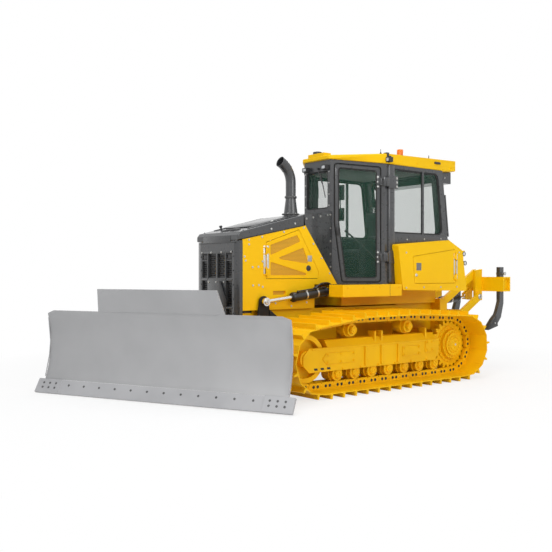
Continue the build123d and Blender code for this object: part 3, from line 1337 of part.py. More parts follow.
with BuildPart() as ripper_bracket:
    bracket_z = (lower_front[1] - BRACKET_RISE, upper_front[1] + BRACKET_RISE)
    block(BRACKET_X, (RIPPER_CYLINDER_Y - 60, OUTER_LINK_Y[1]), bracket_z)
    side_plate([
        (BRACKET_X[0], bracket_z[0]),
        (BRACKET_X[0], bracket_z[1]),
        (upper_front[0] - LINK_HALF, upper_front[1] + 60),
        (lower_front[0] - LINK_HALF, lower_front[1] - 60),
    ], RIPPER_EAR_Y)
    cross_disc(lower_front, RIPPER_PIN_R, (RIPPER_EAR_Y[1], OUTER_LINK_Y[1]))
    cross_disc(upper_front, RIPPER_PIN_R, (INNER_LINK_Y[0], RIPPER_EAR_Y[0]))
    for faces in CYLINDER_EARS:
        side_plate([
            (BRACKET_X[0], upper_front[1] - 70),
            (BRACKET_X[0], upper_front[1] + 70),
            (upper_front[0] - 45, upper_front[1] + 40),
            (upper_front[0] - 45, upper_front[1] - 40),
        ], faces)
        cross_disc(upper_front, CYLINDER_PIN_R + PIN_GAP, faces, mode=Mode.SUBTRACT)
    mirror(about=Plane.XZ)
    block(BRACKET_X, (-RIPPER_CYLINDER_Y, RIPPER_CYLINDER_Y), (lower_front[1], upper_front[1]))

with BuildPart() as ripper_lower_link:
    link_plate(lower_front, lower_rear, LINK_HALF, OUTER_LINK_Y)
    mirror(about=Plane.XZ)
    middle = ((lower_front[0] + lower_rear[0]) / 2, (lower_front[1] + lower_rear[1]) / 2)
    cross_disc(middle, 35, (-OUTER_LINK_Y[0], OUTER_LINK_Y[0]))

with BuildPart() as ripper_upper_link:
    link_plate(upper_front, upper_rear, LINK_HALF, INNER_LINK_Y)
    mirror(about=Plane.XZ)

BEAM_BACK_X = (-2920, -2740)
BEAM_BACK_Z = (1150, 1370)
BEAM_WALL = 22
SHANK_X = (-2850, -2750)
SHANK_TOP = 1520
SHANK_TIP = (-2482, 590)
with BuildPart() as ripper_beam:
    block(BEAM_BACK_X, (-BEAM_HALF, BEAM_HALF), BEAM_BACK_Z)
    for side in (-1, 1):
        pocket_y = sorted((side * (SHANK_Y + SHANK_THICK), side * BEAM_HALF))
        pocket_x = (BEAM_BACK_X[0] + BEAM_WALL, BEAM_BACK_X[1] - BEAM_WALL)
        pocket_z = (BEAM_BACK_Z[0] + BEAM_WALL, BEAM_BACK_Z[1] - BEAM_WALL)
        block(pocket_x, pocket_y, pocket_z, mode=Mode.SUBTRACT)
        side_plate([
            (BEAM_BACK_X[1], lower_rear[1] - 60),
            (lower_rear[0] + LINK_HALF, lower_rear[1] - 50),
            (upper_rear[0] + LINK_HALF, upper_rear[1] + 40),
            (BEAM_BACK_X[1], upper_rear[1] + 60),
        ], sorted(side * y for y in RIPPER_EAR_Y))
        cross_disc(lower_rear, RIPPER_PIN_R, sorted(side * y for y in (RIPPER_EAR_Y[1], OUTER_LINK_Y[1])))
        cross_disc(upper_rear, RIPPER_PIN_R, sorted(side * y for y in (INNER_LINK_Y[0], RIPPER_EAR_Y[0])))
        for faces in CYLINDER_EARS:
            side_plate([
                (BEAM_BACK_X[1], lower_rear[1] - 60),
                (lower_rear[0] + 50, lower_rear[1] - 45),
                (lower_rear[0] + 50, lower_rear[1] + 45),
                (BEAM_BACK_X[1], BEAM_BACK_Z[0] + 60),
            ], sorted(side * y for y in faces))
    for y in (-SHANK_Y, 0, SHANK_Y):
        half = SHANK_THICK / 2 + 0.5
        block((SHANK_X[0] - 1, SHANK_X[1] + 1), (y - half, y + half), BEAM_BACK_Z, mode=Mode.SUBTRACT)

with BuildPart() as ripper_shanks:
    for y in (-SHANK_Y, 0, SHANK_Y):
        side_plate([
            (SHANK_X[1], SHANK_TOP),
            (SHANK_X[0], SHANK_TOP),
            (SHANK_X[0], SHANK_TIP[1] + 370),
            (SHANK_X[0] + 60, SHANK_TIP[1] + 170),
            (SHANK_X[0] + 170, SHANK_TIP[1] + 50),
            SHANK_TIP,
            (SHANK_TIP[0] - 118, SHANK_TIP[1] + 130),
            (SHANK_TIP[0] - 208, SHANK_TIP[1] + 260),
            (SHANK_X[1], SHANK_TIP[1] + 410),
        ], (y - SHANK_THICK / 2, y + SHANK_THICK / 2))

RIPPER_BARREL = 600
RIPPER_ROD_START = 165
ripper_base = (upper_front[0], RIPPER_CYLINDER_Y, upper_front[1])
ripper_eye = (lower_rear[0], RIPPER_CYLINDER_Y, lower_rear[1])
with BuildPart() as ripper_barrels:
    ram_barrel(ripper_base, ripper_eye, 95, RIPPER_BARREL, RIPPER_BARREL_R, RIPPER_ROD_R)
    cross_disc(upper_front, 42, (RIPPER_CYLINDER_Y - CYLINDER_EYE, RIPPER_CYLINDER_Y + CYLINDER_EYE))
    cross_disc(upper_front, CYLINDER_PIN_R, (CYLINDER_EARS[0][0], CYLINDER_EARS[1][1]))
    mirror(about=Plane.XZ)

with BuildPart() as ripper_rods:
    rod(along(ripper_base, ripper_eye, RIPPER_ROD_START), ripper_eye, RIPPER_ROD_R)
    cross_disc(lower_rear, 42, (RIPPER_CYLINDER_Y - CYLINDER_EYE, RIPPER_CYLINDER_Y + CYLINDER_EYE))
    mirror(about=Plane.XZ)

PIECES = {
    "main_frame": main_frame,
    "platform": platform,
    "decks": decks,
    "engine_block": engine_block,
    "cooling_fan": cooling_fan,
    "radiator": radiator,
    "grille_frame": grille_frame,
    "grille_screens": grille_screens,
    "side_panels": side_panels,
    "engine_door_l": engine_door_l,
    "engine_door_r": engine_door_r,
    "hood": hood,
    "cowl": cowl,
    "exhaust_stack": exhaust_stack,
    "cab_frame": cab_frame,
    "cab_glass": cab_glass,
    "cab_door_l": cab_door_l,
    "cab_door_r": cab_door_r,
    "door_glass_l": door_glass_l,
    "door_glass_r": door_glass_r,
    "cab_roof": cab_roof,
    "aircon_box": aircon_box,
    "handrails": handrails,
    "work_lamps": work_lamps,
    "beacon": beacon,
    "roof_fittings": roof_fittings,
    "seat_frame": seat_frame,
    "seat_cushions": seat_cushions,
    "consoles": consoles,
    "rear_body": rear_body,
    "service_door_l": service_door_l,
    "service_door_r": service_door_r,
    "track_l": track_l,
    "track_r": track_r,
    "track_rollers": track_rollers,
    "carrier_rollers": carrier_rollers,
    "idlers": idlers,
    "sprockets": sprockets,
    "track_frames": track_frames,
    "blade": blade,
    "blade_back": blade_back,
    "cutting_edge": cutting_edge,
    "c_frame": c_frame,
    "blade_swivel": blade_swivel,
    "lift_brackets": lift_brackets,
    "lift_barrels": lift_barrels,
    "lift_rods": lift_rods,
    "angle_barrel_l": angle_barrel_l,
    "angle_barrel_r": angle_barrel_r,
    "angle_rod_l": angle_rod_l,
    "angle_rod_r": angle_rod_r,
    "tilt_barrel": tilt_barrel,
    "tilt_rod": tilt_rod,
    "ripper_bracket": ripper_bracket,
    "ripper_lower_link": ripper_lower_link,
    "ripper_upper_link": ripper_upper_link,
    "ripper_beam": ripper_beam,
    "ripper_shanks": ripper_shanks,
    "ripper_barrels": ripper_barrels,
    "ripper_rods": ripper_rods,
}
os.makedirs("parts", exist_ok=True)
for name, piece in PIECES.items():
    piece.part.label = name
    export_step(piece.part, f"parts/{name}.step")
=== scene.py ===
"""Looks of the crawler dozer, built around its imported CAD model.

Metres, in the CAD model's frame: +X forward, +Y the operator's left, +Z up, ground at z = 0.
"""
import json
import math

import bmesh
import bpy
from mathutils import Matrix, Vector

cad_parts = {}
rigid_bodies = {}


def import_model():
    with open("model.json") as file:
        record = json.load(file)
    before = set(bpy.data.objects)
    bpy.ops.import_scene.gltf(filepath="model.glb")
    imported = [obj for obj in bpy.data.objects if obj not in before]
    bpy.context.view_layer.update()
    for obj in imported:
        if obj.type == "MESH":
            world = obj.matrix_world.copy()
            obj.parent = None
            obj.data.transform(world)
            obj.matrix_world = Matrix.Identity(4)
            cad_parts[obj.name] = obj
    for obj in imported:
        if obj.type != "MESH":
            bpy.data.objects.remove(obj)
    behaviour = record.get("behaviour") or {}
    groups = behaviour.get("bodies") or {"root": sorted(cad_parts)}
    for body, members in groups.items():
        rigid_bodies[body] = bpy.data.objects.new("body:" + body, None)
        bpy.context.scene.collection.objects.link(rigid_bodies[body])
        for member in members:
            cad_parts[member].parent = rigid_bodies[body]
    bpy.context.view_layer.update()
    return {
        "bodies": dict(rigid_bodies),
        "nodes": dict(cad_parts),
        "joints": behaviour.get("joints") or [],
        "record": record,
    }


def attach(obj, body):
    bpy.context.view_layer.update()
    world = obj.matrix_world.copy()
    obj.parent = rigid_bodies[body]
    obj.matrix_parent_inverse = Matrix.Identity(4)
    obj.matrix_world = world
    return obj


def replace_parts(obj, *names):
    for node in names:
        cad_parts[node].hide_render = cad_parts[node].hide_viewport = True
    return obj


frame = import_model()
nodes = frame["nodes"]
scene = bpy.context.scene
scene.view_settings.view_transform = "Standard"

BLADE_YAW = math.radians(26.5)
SWIVEL_X = 2.15
BLADE_FRAME = Matrix.Translation((SWIVEL_X, 0, 0)) @ Matrix.Rotation(BLADE_YAW, 4, "Z")


# Camera, light and floor
CAMERA_PLACE = Vector((6.90, 7.658, 1.433))
CAMERA_AZIMUTH = math.radians(51.87)
CAMERA_ELEVATION = math.radians(0.25)
PHOTO_FOCAL = 750.7
PHOTO_SIZE = 552
SENSOR = 36.0


def place_camera():
    """Camera at the photograph's viewing angle."""
    data = bpy.data.cameras.new("photo_camera")
    data.sensor_width = SENSOR
    data.lens = PHOTO_FOCAL / PHOTO_SIZE * SENSOR
    data.clip_end = 200
    camera = bpy.data.objects.new("photo_camera", data)
    scene.collection.objects.link(camera)
    back = Vector((
        math.cos(CAMERA_AZIMUTH) * math.cos(CAMERA_ELEVATION),
        math.sin(CAMERA_AZIMUTH) * math.cos(CAMERA_ELEVATION),
        math.sin(CAMERA_ELEVATION),
    ))
    camera.location = CAMERA_PLACE
    camera.rotation_euler = (-back).to_track_quat("-Z", "Y").to_euler()
    scene.camera = camera


def soft_box(name, place, target, size, power):
    """Square area light aimed at a point."""
    data = bpy.data.lights.new(name, "AREA")
    data.size = size
    data.energy = power
    lamp = bpy.data.objects.new(name, data)
    scene.collection.objects.link(lamp)
    lamp.location = place
    lamp.rotation_euler = (Vector(target) - Vector(place)).to_track_quat("-Z", "Y").to_euler()


def background_rays(tree):
    """A value of 1 for the rays that see the background: camera, glossy and transmission rays."""
    path = tree.nodes.new("ShaderNodeLightPath")
    first = tree.nodes.new("ShaderNodeMath")
    first.operation = "MAXIMUM"
    second = tree.nodes.new("ShaderNodeMath")
    second.operation = "MAXIMUM"
    tree.links.new(path.outputs["Is Camera Ray"], first.inputs[0])
    tree.links.new(path.outputs["Is Glossy Ray"], first.inputs[1])
    tree.links.new(first.outputs[0], second.inputs[0])
    tree.links.new(path.outputs["Is Transmission Ray"], second.inputs[1])
    return second.outputs[0]


def light_studio():
    """White surroundings for the eye, even soft light for the object, and a pale floor with its shadow."""
    world = bpy.data.worlds.new("studio")
    scene.world = world
    world.use_nodes = True
    tree = world.node_tree
    tree.nodes.clear()
    seen = tree.nodes.new("ShaderNodeBackground")
    seen.inputs["Color"].default_value = (1, 1, 1, 1)
    seen.inputs["Strength"].default_value = 1.0
    light = tree.nodes.new("ShaderNodeBackground")
    light.inputs["Color"].default_value = (0.95, 0.97, 1, 1)
    light.inputs["Strength"].default_value = 0.3
    mix = tree.nodes.new("ShaderNodeMixShader")
    out = tree.nodes.new("ShaderNodeOutputWorld")
    tree.links.new(background_rays(tree), mix.inputs["Fac"])
    tree.links.new(light.outputs[0], mix.inputs[1])
    tree.links.new(seen.outputs[0], mix.inputs[2])
    tree.links.new(mix.outputs[0], out.inputs["Surface"])

    soft_box("key_light", (9, 5, 9), (0.5, 0, 1), 6, 760)
    soft_box("side_light", (-1, 12, 6), (0, 0, 1.2), 6, 420)
    soft_box("top_light", (-1, 0, 11), (0, 0, 1), 6, 380)
    soft_box("rear_light", (-10, -6, 6), (0, 0, 1), 6, 300)

    bm = bmesh.new()
    bmesh.ops.create_grid(bm, x_segments=1, y_segments=1, size=60)
    mesh = bpy.data.meshes.new("studio_floor")
    bm.to_mesh(mesh)
    bm.free()
    floor = bpy.data.objects.new("studio_floor", mesh)
    scene.collection.objects.link(floor)
    paper = bpy.data.materials.new("studio_paper")
    paper.use_nodes = True
    tree = paper.node_tree
    surface = tree.nodes["Principled BSDF"]
    surface.inputs["Base Color"].default_value = (0.9, 0.9, 0.9, 1)
    surface.inputs["Roughness"].default_value = 0.9
    glow = tree.nodes.new("ShaderNodeEmission")
    glow.inputs["Strength"].default_value = 1.0
    place = tree.nodes.new("ShaderNodeTexCoord").outputs["Object"]
    distance = tree.nodes.new("ShaderNodeVectorMath")
    distance.operation = "LENGTH"
    tree.links.new(place, distance.inputs[0])
    fade = tree.nodes.new("ShaderNodeMapRange")
    fade.inputs["From Min"].default_value = 2.5
    fade.inputs["From Max"].default_value = 6.0
    fade.inputs["To Min"].default_value = 0.72
    fade.inputs["To Max"].default_value = 1.0
    tree.links.new(distance.outputs["Value"], fade.inputs["Value"])
    share = tree.nodes.new("ShaderNodeMath")
    share.operation = "MULTIPLY"
    tree.links.new(fade.outputs["Result"], share.inputs[1])
    mix = tree.nodes.new("ShaderNodeMixShader")
    tree.links.new(background_rays(tree), share.inputs[0])
    tree.links.new(share.outputs[0], mix.inputs["Fac"])
    tree.links.new(surface.outputs[0], mix.inputs[1])
    tree.links.new(glow.outputs[0], mix.inputs[2])
    tree.links.new(mix.outputs[0], tree.nodes["Material Output"].inputs["Surface"])
    mesh.materials.append(paper)


place_camera()
light_studio()


# Finishes
def add_sockets(group, inputs, outputs):
    """Named sockets of a node group: pairs of name and socket kind."""
    for name, kind in inputs:
        group.interface.new_socket(name, in_out="INPUT", socket_type=kind)
    for name, kind in outputs:
        group.interface.new_socket(name, in_out="OUTPUT", socket_type=kind)


def noise(tree, coordinates, scale, detail):
    """Noise texture node on given coordinates."""
    node = tree.nodes.new("ShaderNodeTexNoise")
    node.inputs["Scale"].default_value = scale
    node.inputs["Detail"].default_value = detail
    tree.links.new(coordinates, node.inputs["Vector"])
    return node


def ramp(tree, value, low, high, start, end):
    """Value mapped from one range to another, clamped."""
    node = tree.nodes.new("ShaderNodeMapRange")
    node.inputs["From Min"].default_value = low
    node.inputs["From Max"].default_value = high
    node.inputs["To Min"].default_value = start
    node.inputs["To Max"].default_value = end
    tree.links.new(value, node.inputs["Value"])
    return node.outputs["Result"]


def mixed(tree, factor, first, second):
    """Colour mix of two colours or sockets."""
    node = tree.nodes.new("ShaderNodeMix")
    node.data_type = "RGBA"
    sockets = (node.inputs[0], node.inputs[6], node.inputs[7])
    for socket, value in zip(sockets, (factor, first, second)):
        if isinstance(value, bpy.types.NodeSocket):
            tree.links.new(value, socket)
        else:
            socket.default_value = value
    return node.outputs[2]


def sprayed_coat_group():
    """Sprayed finish: slow changes of shade, fine peel, and a little dust low on the machine."""
    group = bpy.data.node_groups.new("sprayed_coat", "ShaderNodeTree")
    add_sockets(
        group,
        (
            ("Colour", "NodeSocketColor"),
            ("Shade", "NodeSocketColor"),
            ("Roughness", "NodeSocketFloat"),
            ("Dust", "NodeSocketFloat"),
        ),
        (("Colour", "NodeSocketColor"), ("Roughness", "NodeSocketFloat"), ("Height", "NodeSocketFloat")),
    )
    given = group.nodes.new("NodeGroupInput")
    result = group.nodes.new("NodeGroupOutput")
    place = group.nodes.new("ShaderNodeTexCoord").outputs["Object"]
    slow = noise(group, place, 2.3, 3.0)
    fine = noise(group, place, 420.0, 2.0)
    patches = noise(group, place, 19.0, 5.0)
    shade = ramp(group, slow.outputs["Fac"], 0.35, 0.7, 0.0, 0.6)
    coat = mixed(group, shade, given.outputs["Colour"], given.outputs["Shade"])
    axes = group.nodes.new("ShaderNodeSeparateXYZ")
    group.links.new(place, axes.inputs[0])
    low = ramp(group, axes.outputs["Z"], 0.0, 0.9, 1.0, 0.0)
    spots = ramp(group, patches.outputs["Fac"], 0.42, 0.75, 0.0, 1.0)
    cover = group.nodes.new("ShaderNodeMath")
    cover.operation = "MULTIPLY"
    group.links.new(low, cover.inputs[0])
    group.links.new(spots, cover.inputs[1])
    amount = group.nodes.new("ShaderNodeMath")
    amount.operation = "MULTIPLY"
    group.links.new(cover.outputs[0], amount.inputs[0])
    group.links.new(given.outputs["Dust"], amount.inputs[1])
    dusty = mixed(group, amount.outputs[0], coat, (0.36, 0.28, 0.18, 1))
    group.links.new(dusty, result.inputs["Colour"])
    spread = ramp(group, patches.outputs["Fac"], 0.3, 0.75, -0.06, 0.1)
    rough = group.nodes.new("ShaderNodeMath")
    rough.operation = "ADD"
    group.links.new(given.outputs["Roughness"], rough.inputs[0])
    group.links.new(spread, rough.inputs[1])
    group.links.new(rough.outputs[0], result.inputs["Roughness"])
    group.links.new(fine.outputs["Fac"], result.inputs["Height"])
    return group


SPRAYED_COAT = sprayed_coat_group()


def principled(name):
    """New node material, its tree and its shader."""
    material = bpy.data.materials.new(name)
    material.use_nodes = True
    return material, material.node_tree, material.node_tree.nodes["Principled BSDF"]


def bump(tree, shader, height, strength, distance):
    """Bump on a shader's normal from a height."""
    node = tree.nodes.new("ShaderNodeBump")
    node.inputs["Strength"].default_value = strength
    node.inputs["Distance"].default_value = distance
    tree.links.new(height, node.inputs["Height"])
    tree.links.new(node.outputs["Normal"], shader.inputs["Normal"])


def sprayed(name, colour, shade, roughness, dust=0.0, coat=0.0, shine=0.5):
    """Sprayed paint of a colour that drifts towards a shade."""
    material, tree, shader = principled(name)
    finish = tree.nodes.new("ShaderNodeGroup")
    finish.node_tree = SPRAYED_COAT
    finish.inputs["Colour"].default_value = (*colour, 1)
    finish.inputs["Shade"].default_value = (*shade, 1)
    finish.inputs["Roughness"].default_value = roughness
    finish.inputs["Dust"].default_value = dust
    tree.links.new(finish.outputs["Colour"], shader.inputs["Base Color"])
    tree.links.new(finish.outputs["Roughness"], shader.inputs["Roughness"])
    bump(tree, shader, finish.outputs["Height"], 0.04, 0.0004)
    shader.inputs["Coat Weight"].default_value = coat
    shader.inputs["Specular IOR Level"].default_value = shine
    return material


def two_tone(name, low, high, height, roughness, shine=0.5):
    """Sprayed paint of one colour below a height on the machine and another above it."""
    material = sprayed(name, low, low, roughness, shine=shine)
    tree = material.node_tree
    finish = next(node for node in tree.nodes if node.type == "GROUP")
    axes = tree.nodes.new("ShaderNodeSeparateXYZ")
    tree.links.new(tree.nodes.new("ShaderNodeTexCoord").outputs["Object"], axes.inputs[0])
    step = ramp(tree, axes.outputs["Z"], height - 0.002, height + 0.002, 0.0, 1.0)
    for socket in ("Colour", "Shade"):
        tree.links.new(mixed(tree, step, (*low, 1), (*high, 1)), finish.inputs[socket])
    return material


def punched(name, colour, hole_shade, pitch):
    """Painted sheet with rows of small punched holes on an upright side of the machine; the holes are painted
    darker, as the shade seen through them.
    """
    material, tree, shader = principled(name)
    place = tree.nodes.new("ShaderNodeTexCoord").outputs["Object"]
    flat = tree.nodes.new("ShaderNodeMapping")
    flat.inputs["Scale"].default_value = (1 / pitch, 0, 1 / pitch)
    tree.links.new(place, flat.inputs["Vector"])
    cells = tree.nodes.new("ShaderNodeTexVoronoi")
    cells.inputs["Scale"].default_value = 1.0
    cells.inputs["Randomness"].default_value = 0.0
    tree.links.new(flat.outputs["Vector"], cells.inputs["Vector"])
    sheet = ramp(tree, cells.outputs["Distance"], 0.22, 0.3, 0.0, 1.0)
    # The hole colour is painted shade: the dark of the cavity seen through each hole.
    tree.links.new(mixed(tree, sheet, (*hole_shade, 1), (*colour, 1)), shader.inputs["Base Color"])
    shader.inputs["Roughness"].default_value = 0.55
    bump(tree, shader, sheet, 0.3, 0.002)
    return material


def drawn_steel(name, colour, roughness, along):
    """Steel with fine lines along an axis of the machine."""
    material, tree, shader = principled(name)
    place = tree.nodes.new("ShaderNodeTexCoord").outputs["Object"]
    stretch = tree.nodes.new("ShaderNodeMapping")
    stretch.inputs["Scale"].default_value = along
    tree.links.new(place, stretch.inputs["Vector"])
    lines = noise(tree, stretch.outputs["Vector"], 60.0, 4.0)
    shader.inputs["Metallic"].default_value = 1.0
    tint = ramp(tree, lines.outputs["Fac"], 0.3, 0.7, 0.0, 1.0)
    darker = tuple(0.8 * c for c in colour)
    tree.links.new(mixed(tree, tint, (*colour, 1), (*darker, 1)), shader.inputs["Base Color"])
    tree.links.new(
        ramp(tree, lines.outputs["Fac"], 0.3, 0.7, roughness, roughness + 0.12),
        shader.inputs["Roughness"],
    )
    bump(tree, shader, lines.outputs["Fac"], 0.05, 0.0005)
    return material


def grained_plastic(name, colour, roughness):
    """Moulded plastic or rubber with a fine leather-like grain."""
    material, tree, shader = principled(name)
    place = tree.nodes.new("ShaderNodeTexCoord").outputs["Object"]
    cells = tree.nodes.new("ShaderNodeTexVoronoi")
    cells.inputs["Scale"].default_value = 260.0
    tree.links.new(place, cells.inputs["Vector"])
    drift = noise(tree, place, 6.0, 4.0)
    lighter = tuple(min(1.0, 1.5 * c + 0.01) for c in colour)
    tint = ramp(tree, drift.outputs["Fac"], 0.35, 0.7, 0.0, 1.0)
    tree.links.new(mixed(tree, tint, (*colour, 1), (*lighter, 1)), shader.inputs["Base Color"])
    tree.links.new(
        ramp(tree, drift.outputs["Fac"], 0.3, 0.7, roughness - 0.06, roughness + 0.08),
        shader.inputs["Roughness"],
    )
    bump(tree, shader, cells.outputs["Distance"], 0.12, 0.0006)
    return material


def clear_glass(name, colour, alpha):
    """Thin tinted glass: a see-through sheet with a sharp gloss."""
    material, tree, shader = principled(name)
    place = tree.nodes.new("ShaderNodeTexCoord").outputs["Object"]
    film = noise(tree, place, 1.7, 4.0)
    shader.inputs["Base Color"].default_value = (*colour, 1)
    shader.inputs["Alpha"].default_value = alpha
    shader.inputs["Specular IOR Level"].default_value = 0.6
    tree.links.new(ramp(tree, film.outputs["Fac"], 0.35, 0.7, 0.02, 0.07), shader.inputs["Roughness"])
    return material


def woven_cloth(name, colour, thread):
    """Woven seat cloth with crossing threads and a soft sheen."""
    material, tree, shader = principled(name)
    place = tree.nodes.new("ShaderNodeTexCoord").outputs["Object"]
    bands = []
    for direction in ("X", "Y"):
        wave = tree.nodes.new("ShaderNodeTexWave")
        wave.bands_direction = direction
        wave.inputs["Scale"].default_value = 150.0
        wave.inputs["Distortion"].default_value = 0.6
        tree.links.new(place, wave.inputs["Vector"])
        bands.append(wave.outputs["Fac"])
    weave = tree.nodes.new("ShaderNodeMath")
    weave.operation = "MAXIMUM"
    tree.links.new(bands[0], weave.inputs[0])
    tree.links.new(bands[1], weave.inputs[1])
    tree.links.new(mixed(tree, weave.outputs[0], (*colour, 1), (*thread, 1)), shader.inputs["Base Color"])
    shader.inputs["Roughness"].default_value = 0.85
    shader.inputs["Sheen Weight"].default_value = 0.3
    bump(tree, shader, weave.outputs[0], 0.35, 0.001)
    return material


def ribbed_lens(name, colour, roughness, alpha):
    """Moulded lamp lens with fine upright ribs."""
    material, tree, shader = principled(name)
    place = tree.nodes.new("ShaderNodeTexCoord").outputs["Object"]
    ribs = tree.nodes.new("ShaderNodeTexWave")
    ribs.bands_direction = "DIAGONAL"
    ribs.inputs["Scale"].default_value = 45.0
    tree.links.new(place, ribs.inputs["Vector"])
    paler = tuple(min(1.0, 1.15 * c) for c in colour)
    tree.links.new(mixed(tree, ribs.outputs["Fac"], (*colour, 1), (*paler, 1)), shader.inputs["Base Color"])
    shader.inputs["Roughness"].default_value = roughness
    shader.inputs["Alpha"].default_value = alpha
    bump(tree, shader, ribs.outputs["Fac"], 0.3, 0.001)
    return material


yellow = sprayed("machine_yellow", (0.97, 0.58, 0.002), (0.92, 0.53, 0.002), 0.42, shine=0.2)
track_yellow = sprayed("running_gear_yellow", (0.95, 0.56, 0.002), (0.80, 0.42, 0.003), 0.5, shine=0.2)
frame_paint = two_tone("push_frame_paint", (0.97, 0.58, 0.002), (0.012, 0.012, 0.013), 0.56, 0.42, shine=0.2)
# The screen's second colour is painted shade for the punched holes.
screen_yellow = punched("punched_screen", (0.72, 0.37, 0.004), (0.30, 0.14, 0.004), 0.016)
charcoal = sprayed("charcoal_coat", (0.036, 0.038, 0.041), (0.054, 0.056, 0.059), 0.3, coat=0.45)
pale = sprayed("pale_blade_coat", (0.40, 0.40, 0.405), (0.35, 0.35, 0.355), 0.4)
black = sprayed("black_coat", (0.012, 0.012, 0.013), (0.022, 0.022, 0.023), 0.36)
edge_steel = sprayed("edge_steel", (0.43, 0.43, 0.44), (0.34, 0.34, 0.35), 0.45)
iron = sprayed("engine_iron", (0.10, 0.10, 0.10), (0.06, 0.06, 0.06), 0.6)
chrome = drawn_steel("rod_chrome", (0.78, 0.78, 0.78), 0.1, (1, 12, 12))
zinc = drawn_steel("zinc_plate", (0.60, 0.60, 0.58), 0.32, (6, 6, 1))
glass = clear_glass("tinted_glass", (0.03, 0.13, 0.08), 0.15)
plastic = grained_plastic("dark_plastic", (0.02, 0.02, 0.022), 0.55)
rubber = grained_plastic("black_rubber", (0.009, 0.009, 0.009), 0.7)
grey_plastic = grained_plastic("grey_plastic", (0.13, 0.13, 0.135), 0.5)
amber = ribbed_lens("amber_lens", (0.85, 0.22, 0.02), 0.18, 0.92)
lamp_lens = ribbed_lens("lamp_lens", (0.70, 0.72, 0.74), 0.12, 0.85)
seat_cloth = woven_cloth("seat_cloth", (0.035, 0.036, 0.04), (0.075, 0.077, 0.085))
lining_cloth = woven_cloth("lining_cloth", (0.03, 0.036, 0.033), (0.05, 0.058, 0.053))
smoked = grained_plastic("smoked_glass", (0.006, 0.006, 0.007), 0.12)

CAD_FINISHES = {
    "yellow_paint": yellow,
    "charcoal_paint": charcoal,
    "pale_paint": pale,
    "edge_steel": edge_steel,
    "black_paint": black,
    "rod_chrome": chrome,
    "tinted_glass": glass,
    "seat_fabric": seat_cloth,
    "dark_plastic": plastic,
    "amber_plastic": amber,
    "engine_iron": iron,
}
FINISH_SLOTS = {finish.name: slot for slot, finish in CAD_FINISHES.items()}
FINISH_SLOTS["running_gear_yellow"] = "yellow_paint"
FINISH_SLOTS["push_frame_paint"] = "yellow_paint"
FINISH_SLOTS["punched_screen"] = "yellow_paint"
FINISH_SLOTS["black_rubber"] = "dark_plastic"
FINISH_SLOTS["grey_plastic"] = "dark_plastic"
FINISH_SLOTS["zinc_plate"] = "rod_chrome"
FINISH_SLOTS["lamp_lens"] = "tinted_glass"
FINISH_SLOTS["lining_cloth"] = FINISH_SLOTS["seat_cloth"]
FINISH_SLOTS["smoked_glass"] = "dark_plastic"
RUNNING_GEAR = (
    "track_l",
    "track_r",
    "track_rollers",
    "carrier_rollers",
    "idlers",
    "sprockets",
    "track_frames",
)
SOFT_EDGES = {
    "hood": 0.012, "cowl": 0.006, "side_panels": 0.003, "cab_roof": 0.016, "rear_body": 0.008, "decks": 0.006,
    "grille_frame": 0.005, "cab_frame": 0.006, "aircon_box": 0.006, "roof_fittings": 0.006,
    "engine_door_l": 0.003,
    "engine_door_r": 0.003, "service_door_l": 0.003, "service_door_r": 0.003, "cab_door_l": 0.004,
    "cab_door_r": 0.004, "c_frame": 0.005, "blade_swivel": 0.005, "blade_back": 0.005, "lift_brackets": 0.004,
    "ripper_bracket": 0.005, "ripper_beam": 0.006, "ripper_shanks": 0.006, "track_frames": 0.004,
    "main_frame": 0.005, "platform": 0.005, "consoles": 0.012, "seat_frame": 0.006, "work_lamps": 0.005,
    "cutting_edge": 0.003, "blade": 0.003,
}
cad_slots = {row["node"]: row["material_slot"] for row in frame["record"]["subparts"]}
for name, node in nodes.items():
    finish = track_yellow if name in RUNNING_GEAR else CAD_FINISHES[cad_slots[name]]
    finish = frame_paint if name == "c_frame" else finish
    node.data.materials.clear()
    node.data.materials.append(finish)
    if name in SOFT_EDGES:
        weld = node.modifiers.new("joined_corners", "WELD")
        weld.merge_threshold = 0.00002
        rounding = node.modifiers.new("soft_edges", "BEVEL")
        rounding.width = SOFT_EDGES[name]
        rounding.segments = 2
        rounding.limit_method = "ANGLE"
        rounding.angle_limit = math.radians(40)
        rounding.harden_normals = True


# Ways of making pieces
def side_face(y):
    """Frame on a side of the machine: u is x, v is z, and w stands out along y."""
    return Matrix(((1, 0, 0, 0), (0, 0, 1, y), (0, 1, 0, 0), (0, 0, 0, 1)))


def front_face(x):
    """Frame across the machine: u is y, v is z, and w stands out along x."""
    return Matrix(((0, 0, 1, x), (1, 0, 0, 0), (0, 1, 0, 0), (0, 0, 0, 1)))


def level_face(z):
    """Frame on a level surface: u is x, v is y, and w stands up."""
    return Matrix.Translation((0, 0, z))


def aimed(place, direction):
    """Frame at a place whose Z points along a direction."""
    turn = Vector(direction).to_track_quat("Z", "Y").to_matrix().to_4x4()
    return Matrix.Translation(place) @ turn


def spread(first, last, count):
    """Points spaced evenly from the first to the last."""
    first, last = Vector(first), Vector(last)
    return [first.lerp(last, k / (count - 1)) for k in range(count)]


def add_bar(bm, start, end, radius, segments=20, end_radius=None):
    """Round bar or cone between two points."""
    start, end = Vector(start), Vector(end)
    run = end - start
    bmesh.ops.create_cone(
        bm,
        cap_ends=True,
        segments=segments,
        radius1=radius,
        radius2=radius if end_radius is None else end_radius,
        depth=run.length,
        matrix=aimed((start + end) / 2, run),
    )


def add_box(bm, x, y, z, place=Matrix()):
    """Box between limits on the axes of a frame."""
    centre = Vector([sum(pair) / 2 for pair in (x, y, z)])
    size = Vector([pair[1] - pair[0] for pair in (x, y, z)])
    matrix = place @ Matrix.Translation(centre) @ Matrix.Diagonal(size.to_4d())
    bmesh.ops.create_cube(bm, size=1.0, matrix=matrix)


